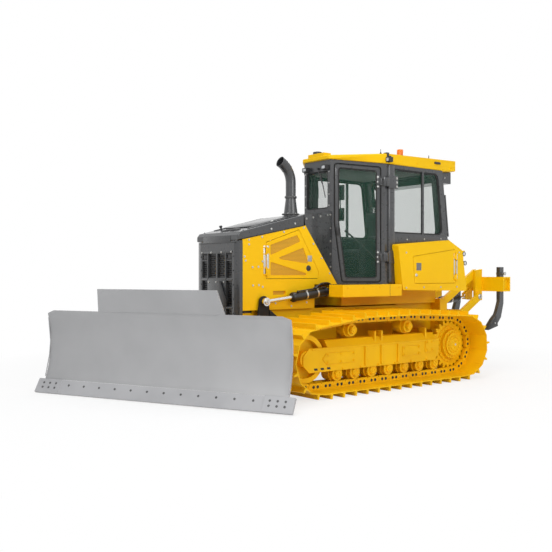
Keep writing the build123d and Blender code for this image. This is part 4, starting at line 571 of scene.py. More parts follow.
def add_plate(bm, outline, thickness, place):
    """Flat plate from an outline of (u, v) points of a frame, standing out along its w."""
    face = bm.faces.new([bm.verts.new(place @ Vector((u, v, 0))) for u, v in outline])
    raised = bmesh.ops.extrude_face_region(bm, geom=[face])["geom"]
    tops = [item for item in raised if isinstance(item, bmesh.types.BMVert)]
    bmesh.ops.translate(bm, vec=place.to_3x3() @ Vector((0, 0, thickness)), verts=tops)


def add_turned(bm, profile, place, direction, steps=28):
    """Turned form: a profile of (radius, height) points spun about a direction through a place."""
    matrix = aimed(place, direction)
    verts = [bm.verts.new(matrix @ Vector((radius, 0, height))) for radius, height in profile]
    edges = [bm.edges.new(pair) for pair in zip(verts, verts[1:])]
    bmesh.ops.spin(
        bm,
        geom=verts + edges,
        cent=place,
        axis=Vector(direction).normalized(),
        dvec=(0, 0, 0),
        angle=2 * math.pi,
        steps=steps,
        use_merge=True,
        use_normal_flip=False,
        use_duplicate=False,
    )


def add_bolt(bm, point, normal, size):
    """Hexagon bolt with its washer."""
    point, normal = Vector(point), Vector(normal).normalized()
    add_bar(bm, point, point + normal * size * 0.35, size * 1.6, 12)
    add_bar(bm, point + normal * size * 0.35, point + normal * size * 1.1, size, 6)


def soften(bm, width, segments=2):
    """Round the sharp edges of a mesh under construction."""
    sharp = [edge for edge in bm.edges if edge.is_manifold and edge.calc_face_angle() > 0.5]
    bmesh.ops.bevel(
        bm,
        geom=sharp,
        offset=width,
        offset_type="OFFSET",
        segments=segments,
        profile=0.5,
        affect="EDGES",
        material=-1,
        clamp_overlap=True,
    )


def piece(name, bm, finish, body, soft=0.0, both_sides=False, turn_over=False):
    """Finished piece riding a body: soft edges, a twin across the machine, or turned over to the right."""
    bmesh.ops.remove_doubles(bm, verts=bm.verts, dist=1e-6)
    if soft:
        soften(bm, soft)
    if both_sides:
        geom = bm.verts[:] + bm.edges[:] + bm.faces[:]
        bmesh.ops.mirror(bm, geom=geom, matrix=Matrix(), merge_dist=-1, axis="Y")
    if turn_over:
        bmesh.ops.scale(bm, vec=(1, -1, 1), verts=bm.verts)
    bmesh.ops.recalc_face_normals(bm, faces=bm.faces)
    mesh = bpy.data.meshes.new(name)
    bm.to_mesh(mesh)
    bm.free()
    mesh.shade_smooth()
    mesh.set_sharp_from_angle(angle=math.radians(32))
    mesh.materials.append(finish)
    obj = bpy.data.objects.new(name, mesh)
    scene.collection.objects.link(obj)
    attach(obj, body)
    return obj


def bolts(name, body, spots, size, finish, both_sides=False, turn_over=False):
    """Bolts at (point, normal) spots as one piece."""
    bm = bmesh.new()
    for point, normal in spots:
        add_bolt(bm, point, normal, size)
    return piece(name, bm, finish, body, both_sides=both_sides, turn_over=turn_over)


def bent_rod(name, points, radius, finish, body, closed=False):
    """Smoothly bent rod or tube through control points."""
    data = bpy.data.curves.new(name, "CURVE")
    data.dimensions = "3D"
    data.bevel_depth = radius
    data.bevel_resolution = 3
    data.resolution_u = 8
    data.use_fill_caps = True
    spline = data.splines.new("NURBS")
    spline.points.add(len(points) - 1)
    for control, point in zip(spline.points, points):
        control.co = (*point, 1)
    spline.order_u = 3
    spline.use_cyclic_u = closed
    spline.use_endpoint_u = not closed
    data.materials.append(finish)
    obj = bpy.data.objects.new(name, data)
    scene.collection.objects.link(obj)
    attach(obj, body)
    return obj


def trim_ring(outline, corner, width, depth, place):
    """Flat ring of trim with rounded corners, along the inside of an outline."""
    bm = bmesh.new()
    verts = [bm.verts.new(place @ Vector((u, v, 0))) for u, v in outline]
    bm.faces.new(verts)
    bmesh.ops.bevel(
        bm,
        geom=verts,
        offset=corner,
        offset_type="OFFSET",
        segments=7,
        profile=0.5,
        affect="VERTICES",
        material=-1,
    )
    ring = bmesh.ops.inset_region(
        bm,
        faces=bm.faces[:],
        thickness=width,
        use_boundary=True,
        use_even_offset=True,
    )["faces"]
    inside = [face for face in bm.faces if face not in ring]
    bmesh.ops.delete(bm, geom=inside, context="FACES")
    raised = bmesh.ops.extrude_face_region(bm, geom=bm.faces[:])["geom"]
    tops = [item for item in raised if isinstance(item, bmesh.types.BMVert)]
    bmesh.ops.translate(bm, vec=place.to_3x3() @ Vector((0, 0, depth)), verts=tops)
    return bm


def rectangle(u, v):
    """Corners of a rectangle from its limits."""
    return [(u[0], v[0]), (u[1], v[0]), (u[1], v[1]), (u[0], v[1])]

# Running gear details
TRACK_Y = 0.9905
SPROCKET = (-1.31, 0.46)
IDLER = (1.31, 0.44)
PIN_LINE = (SPROCKET + (0.352,), IDLER + (0.332,), (0.576, 0.742, 0.118), (-0.42, 0.742, 0.118))
SHOE_COUNT = 39
RAIL_SIDE = 0.095
SHOE_FACE = 0.052


def pin_walk():
    """Straight runs and arcs of the chain's pin line, as functions of distance with their lengths."""
    tangents = []
    for (x1, z1, r1), (x2, z2, r2) in zip(PIN_LINE, PIN_LINE[1:] + PIN_LINE[:1]):
        run = Vector((x2 - x1, z2 - z1))
        share = (r1 - r2) / run.length
        ahead = run.normalized()
        out = ahead * share + Vector((ahead.y, -ahead.x)) * math.sqrt(1 - share * share)
        tangents.append((Vector((x1, z1)) + out * r1, Vector((x2, z2)) + out * r2, out))
    parts = []
    for k, (start, end, out) in enumerate(tangents):
        parts.append(((end - start).length, lambda s, a=start, b=end: a.lerp(b, s / (b - a).length)))
        x, z, radius = PIN_LINE[(k + 1) % 4]
        turn = tangents[(k + 1) % 4][2].angle_signed(out)
        centre = Vector((x, z))
        angle = math.atan2(out.y, out.x)
        parts.append((
            abs(turn) * radius,
            lambda s, c=centre, r=radius, a=angle: c + r * Vector((math.cos(a + s / r), math.sin(a + s / r))),
        ))
    return parts


def track_pins():
    """Pins of the chain in order, as (x, z) points, starting on the ground run behind."""
    parts = pin_walk()
    pitch = sum(length for length, _ in parts) / SHOE_COUNT
    pins = []
    for k in range(SHOE_COUNT):
        distance = (k + 0.5) * pitch
        for length, point in parts:
            if distance <= length:
                pins.append(point(distance))
                break
            distance -= length
    return pins


def dress_tracks():
    """Shoe bolts, dark discs painted as the shade in the link pockets, and pin ends on both chains."""
    pins = track_pins()
    shoe_bolts, pocket_shade_discs, pin_ends = bmesh.new(), bmesh.new(), bmesh.new()
    for first, second in zip(pins, pins[1:] + pins[:1]):
        ahead = (second - first).normalized()
        out = Vector((ahead.y, -ahead.x))
        middle = (first + second) / 2
        for step in (-0.052, 0.052):
            for y in (-0.072, 0.072):
                spot = middle + ahead * step + out * SHOE_FACE
                add_bolt(shoe_bolts, (spot.x, TRACK_Y + y, spot.y), (out.x, 0, out.y), 0.011)
        for side in (-1, 1):
            face = TRACK_Y + side * RAIL_SIDE
            # Dark rubber discs on each link side are painted shade of the link pockets.
            for step in (-0.032, 0.032):
                spot = middle + ahead * step + out * 0.004
                start = (spot.x, face - side * 0.004, spot.y)
                add_bar(pocket_shade_discs, start, (spot.x, face + side * 0.001, spot.y), 0.019, 14)
            profile = [(0, 0.006), (0.013, 0.006), (0.02, 0.004), (0.022, -0.004)]
            add_turned(pin_ends, profile, (first.x, face, first.y), (0, side, 0), 12)
    piece("shoe_bolts", shoe_bolts, track_yellow, "chassis", both_sides=True)
    piece("link_pocket_shade_discs", pocket_shade_discs, rubber, "chassis", both_sides=True)
    piece("chain_pin_ends", pin_ends, track_yellow, "chassis", both_sides=True)


def dress_wheels():
    """End caps of the rollers and carriers, and the sprocket's hub, plug and bolted rings."""
    caps, dark, hub_spots = bmesh.new(), bmesh.new(), []
    ringed = [
        (0, 0.018), (0.014, 0.018), (0.017, 0.014), (0.026, 0.014), (0.03, 0.02), (0.04, 0.02), (0.045, 0.0),
    ]
    for k in range(7):
        x = 0.818 - k * (0.818 + 0.934) / 6
        for side in (-1, 1):
            add_turned(caps, ringed, (x, TRACK_Y + side * 0.0995, 0.228), (0, side, 0), 24)
    drum = [
        (0, 0.012),
        (0.02, 0.012),
        (0.024, 0.006),
        (0.034, 0.006),
        (0.039, 0.012),
        (0.046, 0.012),
        (0.05, -0.02),
    ]
    for x in (0.576, -0.42):
        add_turned(caps, drum, (x, TRACK_Y + 0.126, 0.742), (0, 1, 0), 28)
    hub = [
        (0, 0.03), (0.035, 0.03), (0.05, 0.018), (0.08, 0.016), (0.09, 0.006), (0.118, 0.004), (0.126, -0.01),
    ]
    add_turned(caps, hub, (SPROCKET[0], TRACK_Y + 0.126, SPROCKET[1]), (0, 1, 0), 40)
    add_turned(
        dark,
        [(0, 0.032), (0.016, 0.032), (0.018, 0.028)],
        (SPROCKET[0], TRACK_Y + 0.126, SPROCKET[1]),
        (0, 1, 0),
        6,
    )
    for count, radius, y in ((16, 0.105, 0.131), (20, 0.172, 0.099), (23, 0.218, 0.055)):
        for k in range(count):
            angle = 2 * math.pi * k / count
            spot = (
                SPROCKET[0] + radius * math.cos(angle),
                TRACK_Y + y,
                SPROCKET[1] + radius * math.sin(angle),
            )
            hub_spots.append((spot, (0, 1, 0)))
    piece("roller_and_hub_caps", caps, track_yellow, "chassis", both_sides=True)
    piece("hub_plug", dark, zinc, "chassis", both_sides=True)
    bolts("sprocket_bolts", "chassis", hub_spots, 0.009, track_yellow, both_sides=True)


def dress_track_frames():
    """Cover plates, ribs and bolts on the outer guards of the track frames, and thin dark strips painted as
    the shade in slots.
    """
    face = TRACK_Y + 0.126
    plates, slot_shade_strips = bmesh.new(), bmesh.new()
    side = side_face(face)
    add_plate(plates, [(0.55, 0.36), (1.02, 0.36), (1.08, 0.42), (1.02, 0.49), (0.55, 0.49)], 0.01, side)
    add_plate(plates, rectangle((-0.62, -0.28), (0.37, 0.49)), 0.01, side)
    add_plate(plates, rectangle((-0.95, 1.24), (0.535, 0.556)), 0.012, side)
    for x in (-0.20, 0.10, 0.38):
        add_plate(
            plates,
            [(x - 0.012, 0.30), (x + 0.012, 0.30), (x + 0.012, 0.535), (x - 0.012, 0.535)],
            0.02,
            side,
        )
    piece("track_frame_plates", plates, track_yellow, "chassis", soft=0.003, both_sides=True)
    # Thin black strips are painted shade standing in for slots in the guards.
    for x in (0.95, 1.05, 1.15):
        add_plate(slot_shade_strips, [(x, 0.30), (x + 0.05, 0.30), (x + 0.06, 0.325), (x + 0.01, 0.325)], 0.0015, side)
    piece("track_frame_slot_shades", slot_shade_strips, rubber, "chassis", both_sides=True)
    spots = [((x, face + 0.014, z), (0, 1, 0)) for x in (-0.85, -0.75) for z in (0.42, 0.52)]
    spots += [((x, face + 0.01, z), (0, 1, 0)) for x in (0.58, 0.79, 1.0) for z in (0.38, 0.47)]
    spots += [((x, face + 0.01, z), (0, 1, 0)) for x in (-0.59, -0.31) for z in (0.39, 0.47)]
    spots += [((x, face, 0.295), (0, 1, 0)) for x in (-0.75, -0.45, -0.15, 0.15, 0.45, 0.75)]
    bolts("track_frame_bolts", "chassis", spots, 0.012, track_yellow, both_sides=True)


dress_tracks()
dress_wheels()
dress_track_frames()

# Blade details, in the blade's own frame
EDGE_TOP = Vector((0.750, 0, 0.170))
EDGE_FOOT = Vector((0.843, 0, 0.020))
EDGE_NORMAL = Vector((0.150, 0, 0.093)).normalized()


def on_blade(point):
    """Point of the blade's frame in the machine's frame."""
    return BLADE_FRAME @ Vector(point)


def blade_way(direction):
    """Direction of the blade's frame in the machine's frame."""
    return BLADE_FRAME.to_3x3() @ Vector(direction)


def dress_blade():
    """Bolts of the cutting edge and end bits, weld beads, tilt bearing ring, gussets and lifting eye of the
    blade.
    """
    normal = blade_way(EDGE_NORMAL)
    spots = []
    for y in [-1.21 + k * 0.22 for k in range(12)]:
        spots.append((on_blade(EDGE_TOP.lerp(EDGE_FOOT, 0.36) + Vector((0, y, 0))), normal))
    for side in (-1, 1):
        for y in (1.40, 1.49, 1.58):
            for share in (0.3, 0.62):
                spot = EDGE_TOP.lerp(EDGE_FOOT, share) + EDGE_NORMAL * 0.008 + Vector((0, side * y, 0))
                spots.append((on_blade(spot), normal))
    heads = bmesh.new()
    for spot, direction in spots:
        add_turned(
            heads,
            [(0, 0.002), (0.006, 0.002), (0.007, 0.0035), (0.013, 0.003), (0.0145, -0.002)],
            spot,
            direction,
            14,
        )
    piece("edge_bolts", heads, iron, "blade")

    beads = bmesh.new()
    for y in [-0.78 + k * 0.04 for k in range(39)]:
        add_bar(beads, on_blade((0.7185, y, 0.985)), on_blade((0.7185, y + 0.04, 0.985)), 0.004, 6)
    for side in (-1, 1):
        profile = ((0.747, 0.20), (0.676, 0.45), (0.658, 0.62), (0.69, 0.90))
        ends = [on_blade((x, side * 1.597, z)) for x, z in profile]
        for first, second in zip(ends, ends[1:]):
            add_bar(beads, first, second, 0.006, 8)
    piece("blade_seams", beads, pale, "blade")

    hinge_cover = bmesh.new()
    add_turned(
        hinge_cover,
        [(0.047, 0.0), (0.085, 0.0), (0.09, 0.008), (0.085, 0.02), (0.047, 0.02)],
        on_blade((0.30, 0, 0.47)),
        blade_way((-1, 0, 0)),
        32,
    )
    piece("tilt_bearing_ring", hinge_cover, yellow, "blade")
    spots = []
    for k in range(8):
        angle = math.pi * k / 4
        spot = on_blade((0.30, 0.115 * math.cos(angle), 0.47 + 0.11 * math.sin(angle)))
        spots.append((spot, blade_way((-1, 0, 0))))
    bolts("tilt_bearing_bolts", "blade", spots, 0.01, zinc)

    gussets = bmesh.new()
    for y in (-0.60, 0.60):
        outline = [(0.60, 0.93), (0.695, 0.93), (0.765, 1.17), (0.74, 1.17), (0.60, 0.99)]
        add_plate(gussets, outline, 0.024, BLADE_FRAME @ side_face(y - 0.012))
    piece("guard_gussets", gussets, black, "blade", soft=0.003)
    lifting_eye = bmesh.new()
    add_plate(
        lifting_eye,
        [(-1.60, 0.84), (-1.49, 0.84), (-1.49, 0.955), (-1.585, 0.955)],
        0.02,
        BLADE_FRAME @ front_face(0.655),
    )
    piece("blade_lifting_eye", lifting_eye, yellow, "blade", soft=0.004)


dress_blade()


# Cylinders
def dress_ram(name, base, eye, neck, barrel, radius, rod_radius, body, frame_of=Matrix(), pipe=(0, 0, 1)):
    """Gland, bands, ports and pipe on a cylinder's barrel."""
    base, eye = Vector(base), Vector(eye)
    way = frame_of.to_3x3() @ (eye - base).normalized()
    foot = frame_of @ base
    up = (frame_of.to_3x3() @ Vector(pipe)).normalized()
    up = (up - way * up.dot(way)).normalized()
    gland, bands = bmesh.new(), bmesh.new()
    inner = rod_radius + 0.0012
    add_turned(gland, [
        (radius - 0.002, barrel - 0.05),
        (radius + 0.005, barrel - 0.046),
        (radius + 0.005, barrel - 0.008),
        (radius - 0.002, barrel + 0.006),
        (inner + 0.006, barrel + 0.012),
        (inner, barrel + 0.012),
        (inner, barrel - 0.01),
    ], foot, way, 32)
    add_turned(gland, [
        (radius - 0.002, neck - 0.004),
        (radius + 0.004, neck + 0.002),
        (radius + 0.004, neck + 0.03),
        (radius - 0.002, neck + 0.034),
    ], foot, way, 32)
    for share in (neck + 0.06, barrel - 0.08):
        port = foot + way * share
        add_bar(gland, port + up * (radius - 0.006), port + up * (radius + 0.022), 0.017, 16)
    piece(f"{name}_gland_and_ports", gland, black, body, soft=0.0015)
    for share in (0.3, 0.62):
        middle = neck + (barrel - neck) * share
        add_turned(bands, [
            (radius - 0.001, middle - 0.012),
            (radius + 0.0025, middle - 0.011),
            (radius + 0.0025, middle + 0.011),
            (radius - 0.001, middle + 0.012),
        ], foot, way, 32)
        clamp = foot + way * middle + up * (radius + 0.006)
        add_bar(bands, clamp - way * 0.012, clamp + way * 0.012, 0.012, 12)
    piece(f"{name}_pipe_bands", bands, zinc, body)
    lift = radius + 0.018
    route = [
        foot + way * (neck + 0.06) + up * (radius + 0.01),
        foot + way * (neck + 0.06) + up * lift,
        foot + way * (neck + 0.10) + up * lift,
        foot + way * (barrel - 0.12) + up * lift,
        foot + way * (barrel - 0.08) + up * lift,
        foot + way * (barrel - 0.08) + up * (radius + 0.01),
    ]
    bent_rod(f"{name}_pipe", route, 0.0085, black, body)


def dress_lift():
    """Gussets behind the lift lugs and rigid pipes over the lift cylinders' pivots."""
    gussets = bmesh.new()
    add_plate(
        gussets,
        [(1.33, 0.52), (1.392, 1.005), (1.207, 0.87), (1.05, 0.66), (1.05, 0.52)],
        0.022,
        side_face(0.47),
    )
    piece("lift_lug_gussets", gussets, frame_paint, "c_frame", soft=0.003, both_sides=True)
    for side, tail in ((1, "l"), (-1, "r")):
        for k, (lift, out) in enumerate(((0.0, 0.0), (0.012, 0.03))):
            route = [
                (0.72, side * (0.55 + out), 1.235),
                (0.66, side * (0.55 + out), 1.275 + lift),
                (0.54, side * (0.53 + out), 1.295 + lift),
                (0.42, side * (0.50 + out), 1.285 + lift),
                (0.36, side * (0.49 + out), 1.235),
            ]
            bent_rod(f"lift_port_pipe_{tail}_{k}", route, 0.011, black, "lift_barrels")


def pin_head(bm, place, direction, radius):
    """Chamfered pin head with a grease nipple's boss."""
    add_turned(bm, [
        (0, 0.02),
        (radius * 0.25, 0.02),
        (radius * 0.28, 0.013),
        (radius * 0.8, 0.013),
        (radius, 0.007),
        (radius, -0.002),
    ], place, direction, 28)


LIFT_BASE = (0.41, 0.52, 1.20)
LIFT_EYE = (1.455, 0.52, 1.085)
for side, tail in ((1, "l"), (-1, "r")):
    base = (LIFT_BASE[0], side * LIFT_BASE[1], LIFT_BASE[2])
    eye = (LIFT_EYE[0], side * LIFT_EYE[1], LIFT_EYE[2])
    dress_ram(f"lift_{tail}", base, eye, 0.075, 0.64, 0.056, 0.027, "lift_barrels", pipe=(0, side * 0.5, 1))
    angle_base = (1.15, side * 0.565, 0.60)
    angle_eye = on_blade((0.12, side * 0.575, 0.60))
    dress_ram(f"angle_{tail}", angle_base, angle_eye, 0.07, 0.66, 0.034, 0.019, f"angle_barrel_{tail}")
    ripper_base = (-1.85, side * 0.30, 0.98)
    ripper_eye = (-2.62942, side * 0.30, 1.07)
    dress_ram(f"ripper_{tail}", ripper_base, ripper_eye, 0.095, 0.60, 0.048, 0.018, "ripper_barrels")
dress_ram(
    "tilt",
    (0.375, -0.36, 0.86),
    (0.375, 0.36, 0.86),
    0.06,
    0.43,
    0.040,
    0.024,
    "tilt_barrel",
    BLADE_FRAME,
)


dress_lift()


def dress_pins():
    """Pin heads, keepers and bosses at the machine's pivots."""
    heads = bmesh.new()
    pin_head(heads, (0.41, 0.569, 1.20), (0, 1, 0), 0.03)
    piece("lift_base_pins", heads, zinc, "lift_barrels", both_sides=True)
    heads = bmesh.new()
    pin_head(heads, (1.455, 0.547, 1.085), (0, 1, 0), 0.034)
    piece("lift_eye_pins", heads, zinc, "lift_rods", both_sides=True)
    caps = bmesh.new()
    profile = [(0, 0.022), (0.03, 0.022), (0.036, 0.016), (0.062, 0.016), (0.07, 0.009), (0.078, 0.0)]
    add_turned(caps, profile, (0.42, 0.593, 0.48), (0, 1, 0), 36)
    piece("frame_pivot_caps", caps, zinc, "chassis", both_sides=True)
    spots = []
    for k in range(6):
        angle = math.pi * k / 3
        spots.append(((0.42 + 0.05 * math.cos(angle), 0.609, 0.48 + 0.05 * math.sin(angle)), (0, 1, 0)))
    bolts("frame_pivot_bolts", "chassis", spots, 0.007, zinc, both_sides=True)
    heads = bmesh.new()
    pin_head(heads, (2.15, 0, 0.5205), (0, 0, 1), 0.055)
    piece("swivel_pin_head", heads, zinc, "blade_swivel")
    links = bmesh.new()
    pin_head(links, (-1.85, 0.563, 0.62), (0, 1, 0), 0.042)
    piece("ripper_front_pins", links, zinc, "chassis", both_sides=True)
    links = bmesh.new()
    pin_head(links, (-2.62942, 0.563, 1.07), (0, 1, 0), 0.042)
    piece("ripper_beam_pins", links, zinc, "ripper_beam", both_sides=True)


dress_pins()

# Nose, hood and engine doors
def dress_nose():
    """Plates, bolts, lamps and guard on the nose, and a dark strip painted as the shadow under the hood's
    front lip.
    """
    front = front_face(1.81)
    plates = bmesh.new()
    add_plate(plates, rectangle((-0.188, 0.188), (1.022, 1.342)), 0.008, front)
    for z in (0.715, 1.012, 1.350, 1.682):
        add_plate(plates, rectangle((-0.335, 0.335), (z - 0.009, z + 0.009)), 0.006, front)
    for y in (-0.195, 0.195):
        add_plate(plates, rectangle((y - 0.008, y + 0.008), (0.73, 1.67)), 0.006, front)
    piece("nose_bars_and_plate", plates, charcoal, "chassis", soft=0.002)
    spots = [((1.818, y, z), (1, 0, 0)) for y in (-0.165, 0.0, 0.165) for z in (1.045, 1.32)]
    spots += [((1.816, y, z), (1, 0, 0)) for y in (-0.32, -0.11, 0.11, 0.32) for z in (0.715, 1.682)]
    bolts("nose_plate_bolts", "chassis", spots, 0.008, zinc)
    spots = [((1.81, 0.35, z), (1, 0, 0)) for z in (0.78, 0.95, 1.12, 1.29, 1.46, 1.63)]
    bolts("nose_edge_bolts", "chassis", spots, 0.007, charcoal, both_sides=True)

    guard = bmesh.new()
    add_plate(
        guard,
        [(0.085, 1.03), (0.255, 1.03), (0.255, 1.10), (0.125, 1.335), (0.085, 1.335)],
        0.012,
        front_face(1.835),
    )
    add_box(guard, (1.818, 1.84), (0.10, 0.13), (1.06, 1.09))
    add_box(guard, (1.818, 1.84), (0.10, 0.13), (1.28, 1.31))
    piece("nose_hose_guard", guard, black, "chassis", soft=0.003)

    behind = bmesh.new()
    for y in (0.05, 0.12):
        add_box(behind, (1.71, 1.735), (y, y + 0.03), (1.40, 1.64))
    add_box(behind, (1.70, 1.71), (0.03, 0.17), (1.50, 1.60))
    piece("cooler_brackets", behind, yellow, "chassis", soft=0.003, both_sides=True)

    bezel = trim_ring(rectangle((0.212, 0.318), (1.597, 1.658)), 0.012, 0.008, 0.01, front_face(1.796))
    piece("nose_lamp_bezels", bezel, plastic, "chassis", both_sides=True)
    lens = bmesh.new()
    add_plate(lens, rectangle((0.22, 0.31), (1.605, 1.65)), 0.006, front_face(1.796))
    piece("nose_lamp_lenses", lens, smoked, "chassis", soft=0.003, both_sides=True)

    cap = bmesh.new()
    add_plate(cap, [(-0.30, 1.80), (0.30, 1.80), (0.30, 1.875), (-0.30, 1.875)], 0.004, front_face(1.81))
    piece("nose_cap_panel", cap, charcoal, "chassis", soft=0.002)
    # A thin dark strip just under the hood's front edge is painted shadow of the hood's overhang, not a seam.
    seam = bmesh.new()
    add_box(seam, (1.80, 1.8115), (-0.40, 0.40), (1.788, 1.793))
    piece("hood_lip_shadow_strip", seam, rubber, "chassis")


STACK = (0.70, 0.07)
STACK_BEND_R = 0.29
STACK_BEND_CENTRE = Vector((STACK[0] + STACK_BEND_R, STACK[1], 2.60))
TIP_RADII = (0.0635, 0.0715)
TIP_START = math.radians(38)
TIP_SWEEP = math.radians(29)
HOOD_SLOPE = Vector((-1.02, 0, 0.253)).normalized()
HOOD_NORMAL = Vector((0.253, 0, 1.02)).normalized()


def hood_point(run, y, height=0.0):
    """Point on the hood's sloping top, a distance back from its front edge."""
    return Vector((1.81, y, 1.912)) + HOOD_SLOPE * run + HOOD_NORMAL * height


def hood_frame():
    """Frame on the hood's top: u runs back, v is y, and w stands out."""
    matrix = Matrix((HOOD_SLOPE, (0, 1, 0), HOOD_NORMAL)).transposed().to_4x4()
    matrix.translation = (1.81, 0, 1.912)
    return matrix


def dress_exhaust_tip():
    """Sleeve that carries the exhaust's bend on to its mouth."""
    tip = bmesh.new()
    for radius in TIP_RADII:
        bmesh.ops.create_circle(tip, segments=32, radius=radius)
    bmesh.ops.bridge_loops(tip, edges=tip.edges)
    start = Matrix.Translation(STACK_BEND_CENTRE) @ Matrix.Rotation(TIP_START, 4, "Y")
    bmesh.ops.transform(tip, matrix=start @ Matrix.Translation((-STACK_BEND_R, 0, 0)), verts=tip.verts)
    bmesh.ops.spin(
        tip,
        geom=tip.verts[:] + tip.edges[:] + tip.faces[:],
        cent=STACK_BEND_CENTRE,
        axis=(0, 1, 0),
        angle=TIP_SWEEP,
        steps=10,
    )
    piece("exhaust_tip", tip, charcoal, "chassis")


def dress_hood():
    """Lid, covers, rails, knob, latches, seams and bolts of the hood."""
    top = hood_frame()
    lid = bmesh.new()
    add_plate(
        lid,
        [
            (0.36, -0.30),
            (0.90, -0.30),
            (0.96, -0.22),
            (0.96, 0.22),
            (0.90, 0.30),
            (0.36, 0.30),
            (0.31, 0.24),
            (0.31, -0.24),
        ],
        0.014,
        top,
    )
    piece("hood_lid", lid, charcoal, "chassis", soft=0.005)
    cover = bmesh.new()
    add_turned(
        cover,
        [(0, 0.022), (0.03, 0.022), (0.055, 0.018), (0.062, 0.01), (0.07, 0.008), (0.07, -0.004)],
        hood_point(0.17, 0.16),
        HOOD_NORMAL,
        32,
    )
    add_plate(cover, rectangle((0.13, 0.21), (-0.06, 0.06)), 0.012, top)
    piece("hood_covers", cover, plastic, "chassis", soft=0.002)
    rails = bmesh.new()
    for v in (0.335, 0.375):
        add_plate(rails, rectangle((0.22, 1.0), (v, v + 0.014)), 0.009, top)
    piece("hood_rails", rails, charcoal, "chassis", soft=0.003, both_sides=True)
    knob = bmesh.new()
    add_bar(knob, hood_point(0.28, -0.30, -0.004), hood_point(0.28, -0.30, 0.03), 0.012, 16)
    add_turned(
        knob,
        [(0, 0.03), (0.016, 0.028), (0.022, 0.018), (0.018, 0.004), (0, 0.0)],
        hood_point(0.28, -0.30, 0.026),
        HOOD_NORMAL,
        20,
    )
    piece("hood_knob", knob, plastic, "chassis")
    latches = bmesh.new()
    for run, y in ((0.63, 0.315), (0.63, -0.315)):
        place = hood_point(run, y)
        add_turned(latches, [(0, 0.016), (0.012, 0.016), (0.02, 0.012), (0.022, 0.0)], place, HOOD_NORMAL, 20)
    piece("hood_latches", latches, zinc, "chassis")
    seam = bmesh.new()
    for y in (-0.4512, 0.4512):
        add_bar(seam, (1.735, y, 1.8335), (0.80, y, 2.0245), 0.0035, 8)
    piece("hood_seams", seam, rubber, "chassis")
    spots = [((x, 0.45, z), (0, 1, 0)) for x, z in ((1.313, 1.966), (0.941, 2.046))]
    bolts("hood_side_bolts", "chassis", spots, 0.008, zinc, both_sides=True)
    spots = [(hood_point(run, 0.42), HOOD_NORMAL) for run in (0.10, 0.35, 0.65, 0.95)]
    bolts("hood_bolts", "chassis", spots, 0.007, charcoal, both_sides=True)
    spots = [((x, 0.45, z), (0, 1, 0)) for x, z in (
        (1.65, 1.825), (1.65, 1.77), (1.715, 1.625), (1.70, 1.578),
        (1.597, 1.50), (1.511, 1.504), (1.45, 1.57),
        (1.591, 1.281), (1.504, 1.285), (1.447, 1.263), (1.456, 1.865), (1.119, 1.935), (0.80, 1.998),
        (0.64, 1.80), (0.50, 1.62), (0.36, 1.425), (1.25, 1.06), (0.75, 1.06), (1.0, 1.02),
    )]
    bolts("side_panel_bolts", "chassis", spots, 0.008, zinc, both_sides=True)


def dress_cowl():
    """Bolts along the edges of the cowl's sides, and the stack's foot flange."""
    normal = Vector((-0.155, 0.61, 0)).normalized()

    def on_cowl(x, z):
        return (x, 0.45 - (0.79 - x) * 0.155 / 0.61, z)

    spots = [(on_cowl(x, z), normal) for x, z in (
        (0.745, 2.115), (0.60, 2.14), (0.44, 2.165), (0.28, 2.19), (0.22, 2.20),
        (0.215, 2.02), (0.215, 1.85), (0.215, 1.68), (0.215, 1.51),
    )]
    bolts("cowl_bolts", "chassis", spots, 0.009, zinc, both_sides=True)
    flange = bmesh.new()
    add_turned(
        flange,
        [(0.094, 0.035), (0.112, 0.033), (0.116, 0.028), (0.116, 0.018), (0.09, 0.014)],
        (*STACK, 2.168),
        (0, 0, 1),
        40,
    )
    clamp = [(0.0745, 0.004), (0.079, 0.006), (0.079, 0.026), (0.0745, 0.028)]
    add_turned(flange, clamp, (*STACK, 2.40), (0, 0, 1), 40)
    add_box(flange, (0.69, 0.71), (0.145, 0.17), (2.408, 2.424))
    piece("stack_flange_and_clamp", flange, iron, "chassis")
    spots = []
    for turn in [math.pi * (k + 0.5) / 3 for k in range(6)]:
        spot = (STACK[0] + 0.103 * math.cos(turn), STACK[1] + 0.103 * math.sin(turn), 2.201)
        spots.append((spot, (0, 0, 1)))
    spots.append(((0.71, 0.158, 2.416), (1, 0, 0)))
    bolts("stack_bolts", "chassis", spots, 0.006, zinc)


def inset(outline, distance):
    """Anticlockwise outline with every side moved inwards."""
    points = [Vector(point) for point in outline]
    moved = []
    for before, here, after in zip(points[-1:] + points[:-1], points, points[1:] + points[:1]):
        first = (here - before).orthogonal().normalized()
        second = (after - here).orthogonal().normalized()
        moved.append((here + (first + second) * distance / (1 + first.dot(second)))[:])
    return moved


DOOR_SCREENS = (
    [(1.325, 1.645), (1.325, 1.772), (0.905, 1.905), (0.850, 1.822)],
    [(1.240, 1.606), (0.805, 1.750), (0.715, 1.545)],
    [(1.325, 1.400), (1.325, 1.568), (0.655, 1.400)],
)


